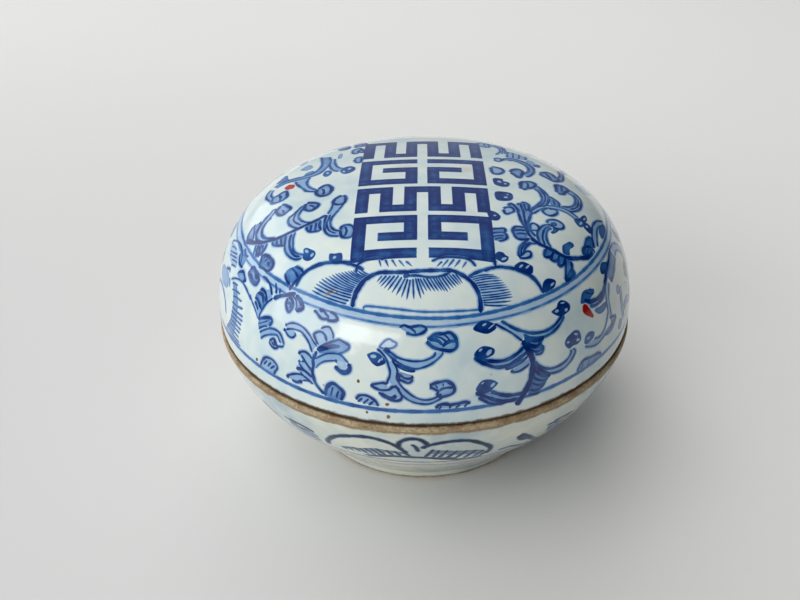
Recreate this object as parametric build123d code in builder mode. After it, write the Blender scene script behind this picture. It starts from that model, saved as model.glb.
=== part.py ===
from build123d import *
import os

# Round porcelain box for seal paste: a domed lid on a bowl with a foot ring, and the paste inside.
# Lengths are in millimetres. The origin is the middle of the foot ring on the table, and +Z is up.

# Lid, measured up from the ledge that it stands on
lid_radius = 59.9
lid_height = 39.3
lid_wall = 4.6
lid_crown_wall = 4.8
lid_edge_round = 0.8

# Base, measured up from the table
seam_height = 41.0  # the ledge
lip_overhang = 0.6  # how far the unglazed lip stands out past the lid
lip_height = 1.8
lip_round = 0.8
lip_lean = 12.0  # degrees that the wall leans in from upright just below the lip
bowl_wall = 4.4
floor_thickness = 5.0
floor_dish = 0.7  # rise of the floor from its middle to where the wall begins
foot_radius = 36.1  # outside of the foot ring on the table
foot_flare = 1.4  # how much wider the foot ring is where it joins the bowl
foot_height = 3.7
foot_width = 4.6
foot_recess = 3.1
foot_round = 0.6
foot_join_round = 1.2

# Collar that stands up from the ledge and keeps the lid in place
collar_height = 5.5
collar_wall = 2.8
collar_gap = 0.7
collar_round = 1.0

# Paste, a soft heap that lies in the bowl
paste_gap = 0.3
paste_edge_depth = 15.0  # from the ledge down to the paste at the wall
paste_heap = 6.0  # how far the middle of the paste stands above its edge

# Outlines, as shares of the radius and of the height that they are drawn in
dome_shares = [(0.0, 1.0), (0.589, 0.916), (0.9425, 0.496), (1.0, 0.0)]
belly_shares = [(1.0, 1.0), (0.61, 0.473), (0.0, 0.0)]
floor_share = 0.72  # of the foot ring's radius, where the bowl's inside starts to rise
wall_shares = (0.9, 0.44)  # of the wall, inwards and upwards from the belly to the bowl's inside

level = (1, 0)  # direction in which an outline leaves the axis
overrun = 1.0  # how far a cutting shape runs past what it cuts

base_radius = lid_radius + lip_overhang
lip_bottom = seam_height - lip_height
collar_radius = lid_radius - lid_wall - collar_gap
hollow_radius = collar_radius - collar_wall
hollow_floor = foot_recess + floor_thickness
foot_top_radius = foot_radius + foot_flare
collar_top = seam_height + collar_height
paste_edge_height = seam_height - paste_edge_depth


def spread(shares, width, height, start=(0.0, 0.0)):
    """Points of an outline: each share of the width and of the height, counted from the start."""
    return [(start[0] + across * width, start[1] + up * height) for across, up in shares]


def smooth_arcs(points, direction):
    """Arcs from point to point, each one leaving in the direction in which the last one arrived."""
    for here, there in zip(points, points[1:]):
        arc = TangentArc(here, there, tangent=direction)
        direction = arc % 1


def hollow_outline(inset=0.0):
    """Section of the bowl's inside, or of what fills it with a gap: floor, wall, mouth and axis."""
    floor = hollow_floor + inset
    wall = bowl_wall + inset
    rise = (foot_top_radius * floor_share, floor + floor_dish)
    side = (belly[1][0] - wall * wall_shares[0], belly[1][1] + wall * wall_shares[1])
    mouth = (hollow_radius - inset, seam_height)
    smooth_arcs([(0, floor), rise, side, mouth], level)
    Polyline(mouth, (0, seam_height), (0, floor))


def rim(turned, radius, height):
    """The round edge nearest to a radius and height, looked for opposite the side that was drawn."""
    return turned.edges().sort_by_distance((-radius, 0, height))[0]


belly = spread(belly_shares, base_radius - foot_top_radius, lip_bottom - foot_height,
               (foot_top_radius, foot_height))

os.makedirs("parts", exist_ok=True)

# Lid: an even shell turned from the dome's outline, open below
with BuildPart() as lid:
    with BuildSketch(Plane.XZ):
        with BuildLine():
            outside = spread(dome_shares, lid_radius, lid_height, (0.0, seam_height))
            smooth_arcs(outside, level)
            Polyline(outside[-1], (0, seam_height), outside[0])
        make_face()
        with BuildLine():
            inner_height = lid_height - lid_crown_wall
            inside = spread(dome_shares, lid_radius - lid_wall, inner_height, (0.0, seam_height))
            smooth_arcs(inside, level)
            Polyline(inside[-1], (0, seam_height), inside[0])
        make_face(mode=Mode.SUBTRACT)
    revolve(axis=Axis.Z)
    fillet(lid.edges().group_by(Axis.Z)[0], radius=lid_edge_round)
lid.part.label = "lid"
export_step(lid.part, "parts/lid.step")

# Base: the bowl's wall down to the foot ring, with the ledge and the collar at the top
with BuildPart() as base:
    with BuildSketch(Plane.XZ):
        with BuildLine():
            Polyline((0, collar_top), (collar_radius, collar_top), (collar_radius, seam_height),
                     (base_radius, seam_height), belly[0])
            smooth_arcs(belly, Vector(0, -1).rotate(Axis.Z, -lip_lean))
            Polyline(belly[-1], (foot_radius, 0), (foot_radius - foot_width, 0),
                     (foot_radius - foot_width, foot_recess), (0, foot_recess), (0, collar_top))
        make_face()
        with BuildLine():
            hollow_outline()
        make_face(mode=Mode.SUBTRACT)
        with BuildLine():
            cut_top = collar_top + overrun
            Polyline((0, seam_height), (hollow_radius, seam_height), (hollow_radius, cut_top),
                     (0, cut_top), close=True)
        make_face(mode=Mode.SUBTRACT)
    revolve(axis=Axis.Z)
    fillet(rim(base, base_radius, seam_height), radius=lip_round)
    fillet(rim(base, foot_top_radius, foot_height), radius=foot_join_round)
    fillet(base.edges().group_by(Axis.Z)[-1], radius=collar_round)
    fillet(base.edges().group_by(Axis.Z)[0], radius=foot_round)
base.part.label = "base"
export_step(base.part, "parts/base.step")

# Paste: what the bowl's inside holds, under a low rounded heap
with BuildPart() as seal_paste:
    with BuildSketch(Plane.XZ):
        with BuildLine():
            hollow_outline(paste_gap)
        make_face()
    revolve(axis=Axis.Z)
    with BuildSketch(Plane.XZ):
        with BuildLine():
            heap_top = (0, paste_edge_height + paste_heap)
            heap_edge = (hollow_radius, paste_edge_height)
            smooth_arcs([heap_top, heap_edge], level)
            Polyline(heap_edge, (hollow_radius, 0), (0, 0), heap_top)
        make_face()
    revolve(axis=Axis.Z, mode=Mode.INTERSECT)
seal_paste.part.label = "seal_paste"
export_step(seal_paste.part, "parts/seal_paste.step")
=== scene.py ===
"""Looks of a round porcelain box for seal paste: a domed lid on a footed bowl, with red paste inside.

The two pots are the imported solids, in bare clay. Thin closed skins of glaze lie on them, with ragged
edges at the rims. The brushwork lies in the glaze: each stroke is a low closed ridge of blue that
follows the pot, and carries how much pigment it holds at each point.
Lengths are in millimetres and turned into metres where a mesh is made.
"""

import math

import bpy
import numpy as np
from mathutils import Matrix, Vector


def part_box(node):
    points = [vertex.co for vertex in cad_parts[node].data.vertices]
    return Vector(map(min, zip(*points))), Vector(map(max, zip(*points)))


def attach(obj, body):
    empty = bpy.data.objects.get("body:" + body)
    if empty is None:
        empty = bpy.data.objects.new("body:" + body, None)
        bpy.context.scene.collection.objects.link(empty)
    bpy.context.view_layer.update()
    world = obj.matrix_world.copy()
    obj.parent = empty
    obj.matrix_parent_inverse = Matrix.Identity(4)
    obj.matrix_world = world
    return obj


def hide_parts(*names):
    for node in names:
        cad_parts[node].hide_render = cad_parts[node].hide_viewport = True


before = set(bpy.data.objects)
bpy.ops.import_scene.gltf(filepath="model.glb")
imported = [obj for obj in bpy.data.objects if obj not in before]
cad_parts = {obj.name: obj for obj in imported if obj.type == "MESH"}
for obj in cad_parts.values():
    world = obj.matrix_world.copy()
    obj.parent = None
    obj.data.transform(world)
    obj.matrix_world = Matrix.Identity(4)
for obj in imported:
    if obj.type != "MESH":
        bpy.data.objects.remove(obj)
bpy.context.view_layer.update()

MM = 0.001

# Sizes of the pots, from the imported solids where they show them
seam_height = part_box("lid")[0].z / MM
lid_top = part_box("lid")[1].z / MM
lip_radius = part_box("base")[1].x / MM
lip_overhang = 0.6
lid_radius = lip_radius - lip_overhang
lid_height = lid_top - seam_height
lid_wall = 4.6
lid_crown_wall = 4.8
lip_height = 1.8
lip_lean = 12.0
foot_radius = 36.1
foot_top = (37.5, 3.7)
foot_width = 4.6
foot_recess = 3.1
bowl_wall = 4.4
bowl_floor = 8.1
bowl_floor_end = (27.0, 8.8)
bowl_mouth = 51.8
dome_shares = [(0.0, 1.0), (0.589, 0.916), (0.9425, 0.496), (1.0, 0.0)]
belly_shares = [(1.0, 1.0), (0.61, 0.473), (0.0, 0.0)]
wall_shares = (0.9, 0.44)

# Glaze and paint
glaze_thickness = 0.1
glaze_bedding = 0.15  # how far the skin's hidden side lies in the clay
edge_roll = 0.7  # how far in from its edge the glaze reaches its thickness
paint_bedding = 0.05
paint_rise = 0.012
paint_load_rise = 0.02
brush_step = 0.4
line_bleed = 0.55  # how far the pigment of a line runs into the glaze
line_fade = 0.17  # how far inside its edge a line is at its full load

FINE = 0.52
LINE = 0.66


def linear(red, green, blue):
    """Screen colour, 0 to 255, as the linear colour that a shader takes."""
    screen = np.array([red, green, blue]) / 255
    low = screen / 12.92
    high = ((screen + 0.055) / 1.055) ** 2.4
    return (*np.where(screen <= 0.04045, low, high).tolist(), 1.0)


def tangent_arcs(points, heading, steps=300):
    """Chain of arcs through the points, each leaving in the direction in which the last one arrived.

    An arc turns by twice the angle from that direction to its chord. After a share t of the turn, the
    way from its start is chord * sin(t * turn / 2) / sin(turn / 2), in the direction that is the
    heading + t * turn / 2.
    """
    rows = [np.array([points[0]], float)]
    for (r0, z0), (r1, z1) in zip(points, points[1:]):
        chord = math.hypot(r1 - r0, z1 - z0)
        bend = math.atan2(z1 - z0, r1 - r0) - heading
        bend = (bend + math.pi) % (2 * math.pi) - math.pi or 1e-9
        share = np.linspace(0, 1, steps + 1)[1:]
        way = chord * np.sin(share * bend) / math.sin(bend)
        toward = heading + share * bend
        rows.append(np.stack([r0 + way * np.cos(toward), z0 + way * np.sin(toward)], -1))
        heading += 2 * bend
    return np.concatenate(rows)


def ripple(points):
    """Unevenness of a poured glaze, 0 to 0.05 mm: three crossing waves, 13 to 31 mm long."""
    x, y, z = np.moveaxis(points, -1, 0)
    waves = np.sin(0.31 * x + 0.22 * z + 1.0) + np.sin(0.27 * y - 0.35 * z + 0.4)
    return 0.05 * (0.5 + (waves + np.sin(0.16 * x - 0.2 * y + 2.0)) / 6)


class Wall:
    """One turned face of a pot: its outline from its start outwards or down, and which side shows."""

    def __init__(self, chains, side=1):
        """Each chain is points and a heading. Their sharp joints are rounded by a running mean."""
        outline = np.concatenate([tangent_arcs(*chain) for chain in chains])
        keep = np.concatenate([[True], np.hypot(*np.diff(outline, axis=0).T) > 1e-6])
        outline = outline[keep]
        length = np.concatenate([[0], np.cumsum(np.hypot(*np.diff(outline, axis=0).T))])
        self.along = np.linspace(0, length[-1], int(length[-1] / 0.04))
        even = np.stack([np.interp(self.along, length, column) for column in outline.T], -1)
        reach = 10
        window = np.hanning(2 * reach + 3)[1:-1]
        before = 2 * even[0] - even[reach:0:-1]
        after = 2 * even[-1] - even[-2:-reach - 2:-1]
        longer = np.concatenate([before, even, after])
        self.radius, self.height = (
            np.convolve(column, window / window.sum(), "valid") for column in longer.T
        )
        self.angle = np.unwrap(np.arctan2(np.gradient(self.height), np.gradient(self.radius)))
        self.side = side
        self.length = self.along[-1]

    def place(self, turn, along, lift=0.0):
        """Point in metres at turn degrees from the front, along mm down the outline, lift mm off it."""
        angle = np.interp(along, self.along, self.angle)
        radius = np.interp(along, self.along, self.radius)
        height = np.interp(along, self.along, self.height)
        around = np.radians(turn)

        def spin(r, z):
            """Points in millimetres at a radius and a height."""
            return np.stack([r * np.sin(around), -r * np.cos(around), z + 0 * r], -1)

        rise = self.side * (lift + ripple(spin(radius, height)))
        return spin(radius - rise * np.sin(angle), height + rise * np.cos(angle)) * MM


def spread(shares, width, height, start):
    """Points of an outline: each share of the width and of the height, counted from the start."""
    return [(start[0] + across * width, start[1] + up * height) for across, up in shares]


belly = spread(belly_shares, lip_radius - foot_top[0], seam_height - lip_height - foot_top[1], foot_top)
foot_lean = math.atan2(-foot_top[1], foot_radius - foot_top[0])
foot_line = [foot_top, (foot_radius, 0.0)]
lip_line = [(lip_radius, seam_height), (lip_radius, seam_height - lip_height)]
bowl_side = (belly[1][0] - bowl_wall * wall_shares[0], belly[1][1] + bowl_wall * wall_shares[1])

dome = Wall([(spread(dome_shares, lid_radius, lid_height, (0, seam_height)), 0.0)])
dome_inside = Wall(
    [(spread(dome_shares, lid_radius - lid_wall, lid_height - lid_crown_wall, (0, seam_height)), 0.0)],
    side=-1)
bowl = Wall(
    [(lip_line, -math.pi / 2), (belly, -math.pi / 2 - math.radians(lip_lean)), (foot_line, foot_lean)])
bowl_inside = Wall([([(0, bowl_floor), bowl_floor_end, bowl_side, (bowl_mouth, seam_height)], 0.0)])
underside = Wall([([(0, foot_recess), (foot_radius - foot_width, foot_recess)], 0.0)], side=-1)

widest = int(np.argmax(dome.radius))


def on_side(turn, up, lift=0.0, spun=0.0):
    """Point on the lid at turn degrees from the front and up mm from the seam along the dome."""
    return dome.place(turn + spun, dome.length - up, lift)


def on_top(x, y, lift=0.0, spun=0.0):
    """Point on the lid that stands over x, y in plan."""
    along = np.interp(np.hypot(x, y), dome.radius[:widest], dome.along[:widest])
    return dome.place(np.degrees(np.arctan2(x, -y)) + spun, along, lift)


def on_bowl(turn, down, lift=0.0, spun=0.0):
    """Point on the bowl at turn degrees from the front and down mm from the ledge along the wall."""
    return bowl.place(turn + spun, down, lift)


# Meshes


def turned_outwards(points, faces, first=0):
    """The faces, reversed if the volume that their quads close in about the middle is negative."""
    quads = np.array([face for face in faces if len(face) == 4]) - first
    a, b, c, d = (points[quads[:, i]] - points.mean(0) for i in range(4))
    inside_out = np.einsum("ij,ij->", a, np.cross(b, c) + np.cross(c, d)) < 0
    return [face[::-1] for face in faces] if inside_out else faces


def add_piece(name, points, faces, body, material, marks=None, normals=None):
    """Closed smooth mesh as a piece that rides on a body."""
    mesh = bpy.data.meshes.new(name)
    mesh.from_pydata(points.tolist(), [], faces)
    mesh.polygons.foreach_set("use_smooth", [True] * len(faces))
    for mark, values in (marks or {}).items():
        attribute = mesh.attributes.new(mark, "FLOAT", "POINT")
        attribute.data.foreach_set("value", np.asarray(values, np.float32))
    if normals is not None:
        mesh.normals_split_custom_set_from_vertices(normals.tolist())
    mesh.materials.append(material)
    mesh.update()
    piece = bpy.data.objects.new(name, mesh)
    bpy.context.scene.collection.objects.link(piece)
    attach(piece, body)
    return piece


def grid_faces(rows, columns, first=0, closed_rows=False):
    """Quads of a grid of points that is closed round its columns, and round its rows if told."""
    row = np.arange(rows if closed_rows else rows - 1)[:, None]
    column = np.arange(columns)[None, :]
    after = (column + 1) % columns
    below = (row + 1) % rows
    row, below = row * columns, below * columns
    corners = [row + column, row + after, below + after, below + column]
    return (np.stack(np.broadcast_arrays(*corners), -1).reshape(-1, 4) + first).tolist()


def turned_faces(rows, columns, first=0):
    """Faces of stacked rings between two poles: the first point and the last one are the poles."""
    faces = grid_faces(rows, columns, first + 1)
    last = first + 1 + rows * columns
    step = np.arange(columns)
    after = (step + 1) % columns
    top = np.stack([np.full(columns, first), first + 1 + after, first + 1 + step], -1)
    ring = first + 1 + (rows - 1) * columns
    end = np.stack([np.full(columns, last), ring + step, ring + after], -1)
    return top.tolist() + faces + end.tolist()


def ragged(turn, seed, size, slowest=2, fastest=90):
    """Uneven edge round a pot: waves of every count round it, each as high as one over its count."""
    random = np.random.default_rng(seed)
    counts = np.arange(slowest, fastest)
    heights = random.normal(size=len(counts)) / counts**0.75
    starts = random.uniform(0, 2 * np.pi, len(counts))
    waves = heights * np.sin(np.radians(turn)[:, None] * counts + starts)
    return size * waves.sum(1) / np.abs(heights).sum() * 3


def glaze_skin(name, wall, start, stop, body, material, seed, rough=0.3, columns=360, step=0.45):
    """Skin of glaze on a wall: out on the side that shows, round its edge, and back inside the clay.

    Start None is the axis. Near an edge the thickness falls as the square root of the distance.
    """
    turn = np.linspace(-180, 180, columns, endpoint=False)
    from_edge = np.array([0.0, 0.04, 0.12, 0.25, 0.45, edge_roll])
    stop_line = stop + ragged(turn, seed, rough)
    to_stop = stop_line - from_edge[::-1, None]
    if start is None:
        first = np.full(columns, step)
        head = np.empty((0, columns))
    else:
        start_line = start + ragged(turn, seed + 1, rough)
        head = start_line + from_edge[:, None]
        first = head[-1] + step
    rows = int((stop - first.mean()) / step)
    share = np.linspace(0, 1, rows, endpoint=False)[:, None]
    along = np.concatenate([head, first + (to_stop[0] - first) * share, to_stop])
    nearest = stop_line - along
    if start is not None:
        nearest = np.minimum(nearest, along - start_line)
    thickness = glaze_thickness * np.sqrt(np.clip(nearest / edge_roll, 0, 1))
    back = along[::-1][1:-1:4]
    outer = wall.place(turn, along, thickness)
    inner = wall.place(turn, back, -glaze_bedding)
    rings = np.concatenate([outer, inner])
    edge = np.concatenate([nearest, np.full(back.shape, 9.0)]).clip(0, 9)
    if start is None:
        poles = [wall.place(0.0, np.array(0.0), lift)[None] for lift in (glaze_thickness, -glaze_bedding)]
        points = np.concatenate([poles[0], rings.reshape(-1, 3), poles[1]])
        marks = np.concatenate([[9.0], edge.ravel(), [9.0]])
        faces = turned_faces(len(rings), columns)
    else:
        points, marks = rings.reshape(-1, 3), edge.ravel()
        faces = grid_faces(len(rings), columns, closed_rows=True)
    faces = turned_outwards(points, faces)
    return add_piece(name, points, faces, body, material, {"edge_distance": marks})


# Brushwork


def curve(points, closed=False):
    """Even points, a brush step apart, on the Catmull-Rom curve through the given ones.

    Between p1 and p2 it is (2 p1 + (p2 - p0) t + (2 p0 - 5 p1 + 4 p2 - p3) t^2
    + (3 p1 - p0 - 3 p2 + p3) t^3) / 2.
    """
    p = np.array(points, float)
    p = np.concatenate([p[-1:], p, p[:2]]) if closed else np.concatenate([p[:1], p, p[-1:]])
    p0, p1, p2, p3 = (p[i:len(p) - 3 + i, None] for i in range(4))
    t = np.linspace(0, 1, 12, endpoint=False)[None, :, None]
    fine = 0.5 * (2 * p1 + (p2 - p0) * t + (2 * p0 - 5 * p1 + 4 * p2 - p3) * t**2
                  + (3 * p1 - p0 - 3 * p2 + p3) * t**3)
    fine = np.concatenate([fine.reshape(-1, 2), p[-2:-1]])
    length = np.concatenate([[0], np.cumsum(np.hypot(*np.diff(fine, axis=0).T))])
    even = np.linspace(0, length[-1], max(4, int(length[-1] / brush_step) + 2))
    return np.stack([np.interp(even, length, column) for column in fine.T], -1)


def unit(vectors):
    """The vectors, scaled to a length of one."""
    return vectors / np.linalg.norm(vectors, axis=-1, keepdims=True)


class Brush:
    """Strokes on one face of a pot, collected into one piece."""

    def __init__(self, face, seed, spins=(0.0,)):
        """Spins are the degrees by which the whole pattern is turned for each of its repeats."""
        self.face = face
        self.spins = spins
        self.random = np.random.default_rng(seed)
        self.charts, self.lifts, self.loads, self.faces = [], [], [], []
        self.count = 0

    def measure(self, track, spun=0.0):
        """The pot's two directions in metres per unit of the chart, and its normal."""
        u, v = np.moveaxis(track, -1, 0)
        small = 0.01
        along_u = (self.face(u + small, v, 0.0, spun) - self.face(u - small, v, 0.0, spun)) / (2 * small)
        along_v = (self.face(u, v + small, 0.0, spun) - self.face(u, v - small, 0.0, spun)) / (2 * small)
        normal = unit(np.cross(along_u, along_v))
        outward = (normal * (self.face(u, v, 1.0, spun) - self.face(u, v, 0.0, spun))).sum(-1)
        return along_u, along_v, normal * np.sign(outward)[..., None]

    def collect(self, chart, load, inside, faces, over=0.0):
        """Adds a closed stroke: chart points with their loads. Those marked inside lie in the glaze."""
        rise = np.where(load > 0, paint_rise + paint_load_rise * load, -paint_rise / 2) + over
        lift = glaze_thickness + np.where(inside, -paint_bedding, rise)
        points = self.face(chart[:, 0], chart[:, 1], lift)
        faces = turned_outwards(points, faces, self.count)
        self.charts.append(chart)
        self.lifts.append(lift)
        self.loads.append(np.clip(load, 0, 1))
        self.faces += faces
        self.count += len(chart)

    def line(self, points, width=LINE, load=0.9, ends=(0.5, 0.5), closed=False):
        """Stroke along a curve. Its width falls to a point over its ends, as the root of the way left.

        Across, the load rises from nothing over a pale bleed into the glaze, then fast to full.
        """
        track = curve(points, closed)
        along_u, along_v, normal = self.measure(track)
        change = np.gradient(track, axis=0)
        tangent = unit(along_u * change[:, :1] + along_v * change[:, 1:])
        aside = np.cross(normal, tangent) * MM
        uu, uv, vv = ((a * b).sum(-1) for a, b in
                      ((along_u, along_u), (along_u, along_v), (along_v, along_v)))
        pu, pv = (along_u * aside).sum(-1), (along_v * aside).sum(-1)
        scale = uu * vv - uv**2
        step = np.stack([(vv * pu - uv * pv) / scale, (uu * pv - uv * pu) / scale], -1)
        way = np.arange(len(track)) * brush_step
        shape = np.minimum(1, (way / ends[0]).clip(0) ** 0.6) * np.minimum(1, (way[::-1] / ends[1]) ** 0.6)
        phase = self.random.uniform(0, 6.28, 2)
        shape *= 1 + 0.1 * np.sin(way * 1.3 + phase[0]) + 0.06 * np.sin(way * 3.1 + phase[1])
        half = np.maximum(width / 2 * shape, 0.02)
        soft = np.minimum(0.5, line_fade / half)[:, None]
        bleed = 1 + line_bleed / np.maximum(half, 0.35)[:, None]
        one = np.ones_like(soft)
        across = np.concatenate([-bleed, -one, soft - 1, 0 * one, 1 - soft, one, bleed], -1)
        share = np.array([0, 0.33, 1, 0.94, 1, 0.33, 0])
        flow = load * (1 + 0.08 * np.sin(way * 0.9 + phase[1]))[:, None] * share
        chart = track[:, None] + step[:, None] * (across * half[:, None])[..., None]
        self.ridge(np.concatenate([chart, track[:, None]], 1), np.concatenate([flow, 0 * one], 1))

    def ridge(self, chart, load):
        """Closed ridge from cross rows of chart points, whose last point is the one in the glaze."""
        rows, columns = load.shape
        inside = np.zeros((rows, columns), bool)
        inside[:, -1] = True
        faces = grid_faces(rows, columns, self.count)
        ends = [list(range(self.count, self.count + columns))]
        last = self.count + (rows - 1) * columns
        ends.append(list(range(last + columns - 1, last - 1, -1)))
        self.collect(chart.reshape(-1, 2), load.ravel(), inside.ravel(), faces + ends)

    def strip(self, one, other, load=0.4, margin=0.12):
        """Wash between two curves, even inside and fading out at both over a share of the way."""
        count = max(len(curve(one)), len(curve(other)))
        rows = []
        for side in (curve(one), curve(other)):
            share = np.linspace(0, 1, len(side))
            rows.append(np.stack([np.interp(np.linspace(0, 1, count), share, c) for c in side.T], -1))
        across = np.array([0, margin, 0.5, 1 - margin, 1])
        chart = rows[0][:, None] + (rows[1] - rows[0])[:, None] * across[:, None]
        flow = load * np.array([0, 1, 0.85, 1, 0]) * np.ones((count, 1))
        flow[[0, -1]] = 0
        middle = (rows[0] + rows[1])[:, None] / 2
        self.ridge(np.concatenate([chart, middle], 1), np.concatenate([flow, np.zeros((count, 1))], 1))

    def wash(self, outline, centre=0.3, edge=0.45, under=0.0):
        """Blot inside a closed curve: rings drawn in towards its middle, darker near the edge.

        Under is the load of the paint that it lies on. Its edge starts just under that paint's face.
        """
        ring = curve(outline, closed=True)[:-1]
        middle = ring.mean(0)
        shares = np.array([1, 0.88, 0.6, 0.3])
        loads = np.array([under, edge, (edge + centre) / 2, centre])
        over = np.array([-0.4, 1, 1, 1]) * (paint_load_rise if under else 0.0)
        chart = middle + (ring - middle) * shares[:, None, None]
        flow = loads[:, None] * np.ones(len(ring))
        load = np.concatenate([[0.0], flow.ravel(), [centre]])
        inside = np.zeros(len(load), bool)
        inside[0] = True
        points = np.concatenate([middle[None], chart.reshape(-1, 2), middle[None]])
        over = np.concatenate([[0.0], np.repeat(over, len(ring)), over[-1:]])
        self.collect(points, load, inside, turned_faces(len(shares), len(ring), self.count), over)

    def lines(self, width, *strokes, load=0.93):
        """Open strokes of one width."""
        for stroke in strokes:
            self.line(stroke, width, load)

    def loop(self, outline, width, load=0.93):
        """Closed stroke round an outline."""
        self.line(outline, width, load, (0.01, 0.01), closed=True)

    def washes(self, load, *outlines):
        """Washes that are paler in the middle."""
        for outline in outlines:
            self.wash(outline, load * 0.8, load)

    def blot(self, outline, *cells, dark=0.88):
        """Dark blot with pale cells left in it: each is its middle, length, breadth and lean in degrees."""
        self.wash(outline, dark, dark)
        for u, v, length, breadth, lean in cells:
            self.wash(self.oval((u, v), length, breadth, lean), 0.2, 0.32, dark)

    def oval(self, at, across, along, tilt):
        """Points of an uneven oval: the oval times one plus two small waves round it."""
        round_ = np.radians(np.arange(0, 360, 30))
        wobble = 1 + 0.12 * np.sin(2 * round_ + self.random.uniform(0, 6)) + 0.08 * np.sin(5 * round_)
        x, y = across / 2 * wobble * np.cos(round_), along / 2 * wobble * np.sin(round_)
        lean = math.radians(tilt)
        return np.stack([at[0] + x * math.cos(lean) - y * math.sin(lean),
                         at[1] + x * math.sin(lean) + y * math.cos(lean)], -1)

    def nub(self, arch, stripes, width=0.8, load=0.35):
        """Half bud that stands on a line: its arch, stripes up it and a wash inside."""
        self.wash(arch, load * 0.8, load)
        self.line(arch, width, 0.95, (0.3, 0.3))
        self.lines(0.7, *stripes)

    def branch(self, one, other, load=0.35, width=FINE):
        """Scroll arm between its two contour lines, with a wash between them."""
        self.strip(one, other, load)
        self.line(one, width, 0.88)
        self.line(other, width, 0.82)

    def spot(self, at, across, along, tilt=0.0, centre=0.8, edge=0.9):
        """Uneven oval of paint."""
        self.wash(self.oval(at, across, along, tilt), centre, edge)

    def run(self, path, width, load=1.0):
        """Straight broad strokes from point to point, each as wide at its ends as at its sides."""
        for a, b in zip(np.array(path[:-1], float), np.array(path[1:], float)):
            ahead = (b - a) / np.hypot(*(b - a)) * width / 2
            aside = np.array([-ahead[1], ahead[0]])
            a, b = a - ahead, b + ahead
            self.strip([a - aside, b - aside], [a + aside, b + aside], load, 0.16 / width)

    def leaf(self, outline, width=FINE, load=0.35):
        """Outlined shape with a wash inside."""
        self.wash(outline, load * 0.7, load)
        self.loop(outline, width)

    def hatch(self, strokes, width=FINE, load=0.85, wash=0.0):
        """Separate strokes that thin towards their ends, over a wash where it is more than nothing."""
        if wash:
            roots = np.array([stroke[0] for stroke in strokes], float)
            tips = np.array([stroke[-1] for stroke in strokes], float)
            self.strip(roots, (roots + tips) / 2, wash)
        for stroke in strokes:
            self.line(stroke, width, load, (0.3, 2.2))

    def finish(self, name, body, material):
        """Makes the piece: every stroke once for each spin."""
        chart, lift = np.concatenate(self.charts), np.concatenate(self.lifts)
        points = [self.face(chart[:, 0], chart[:, 1], lift, spun) for spun in self.spins]
        normals = [self.measure(chart, spun)[2] for spun in self.spins]
        faces = [[corner + copy * self.count for corner in face]
                 for copy in range(len(self.spins)) for face in self.faces]
        marks = {"paint_load": np.tile(np.concatenate(self.loads), len(self.spins))}
        return add_piece(name, np.concatenate(points), faces, body, material, marks,
                         np.concatenate(normals))


# Materials


def plug(tree, socket, value):
    """Links a socket to the one that feeds it, or sets its plain value."""
    if isinstance(value, bpy.types.NodeSocket):
        tree.links.new(value, socket)
    else:
        socket.default_value = value


def node(tree, kind, settings=None, **inputs):
    """Adds a shader node. Settings are its own properties; inputs are sockets, linked or set."""
    made = tree.nodes.new("ShaderNode" + kind)
    for key, value in (settings or {}).items():
        setattr(made, key, value)
    for key, value in inputs.items():
        socket = made.inputs[int(key[1:])] if key[0] == "_" else made.inputs[key.replace("_", " ")]
        plug(tree, socket, value)
    return made


def new_group(name, inputs, outputs):
    """Node group with named sockets: (name, kind, default) in, (name, kind) out."""
    group = bpy.data.node_groups.new(name, "ShaderNodeTree")
    for label, kind, default in inputs:
        socket = group.interface.new_socket(label, in_out="INPUT", socket_type="NodeSocket" + kind)
        socket.default_value = default
    for label, kind in outputs:
        group.interface.new_socket(label, in_out="OUTPUT", socket_type="NodeSocket" + kind)
    return group, group.nodes.new("NodeGroupInput"), group.nodes.new("NodeGroupOutput")


def place_group(tree, group, **inputs):
    """Adds a group to a tree, with its sockets linked or set."""
    made = tree.nodes.new("ShaderNodeGroup")
    made.node_tree = group
    for key, value in inputs.items():
        socket = made.inputs[key.replace("_", " ")]
        plug(tree, socket, value)
    return made


def mixed(tree, share, first, second, blend="MIX"):
    """Colour that goes from the first to the second by a share."""
    made = node(tree, "Mix", {"data_type": "RGBA", "blend_type": blend}, _0=share, _6=first, _7=second)
    return made.outputs[2]


def noise(tree, coordinates, scale, detail=3.0, roughness=0.5):
    """Cloudy value, about 0.5 in the middle."""
    made = node(tree, "TexNoise", None, Vector=coordinates, Scale=scale, Detail=detail, Roughness=roughness)
    return made.outputs["Fac"]


def ranged(tree, value, low, high, to_low=0.0, to_high=1.0):
    """Value mapped from one range to another, smoothly, and kept inside it."""
    settings = {"interpolation_type": "SMOOTHSTEP"}
    made = node(tree, "MapRange", settings, Value=value, _1=low, _2=high, _3=to_low, _4=to_high)
    return made.outputs[0]


def arithmetic(tree, operation, first, second):
    """Result of one sum on two values."""
    return node(tree, "Math", {"operation": operation}, _0=first, _1=second).outputs[0]


def object_place(tree):
    """Place on the piece, in metres from its origin."""
    return node(tree, "TexCoord").outputs["Object"]


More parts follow.
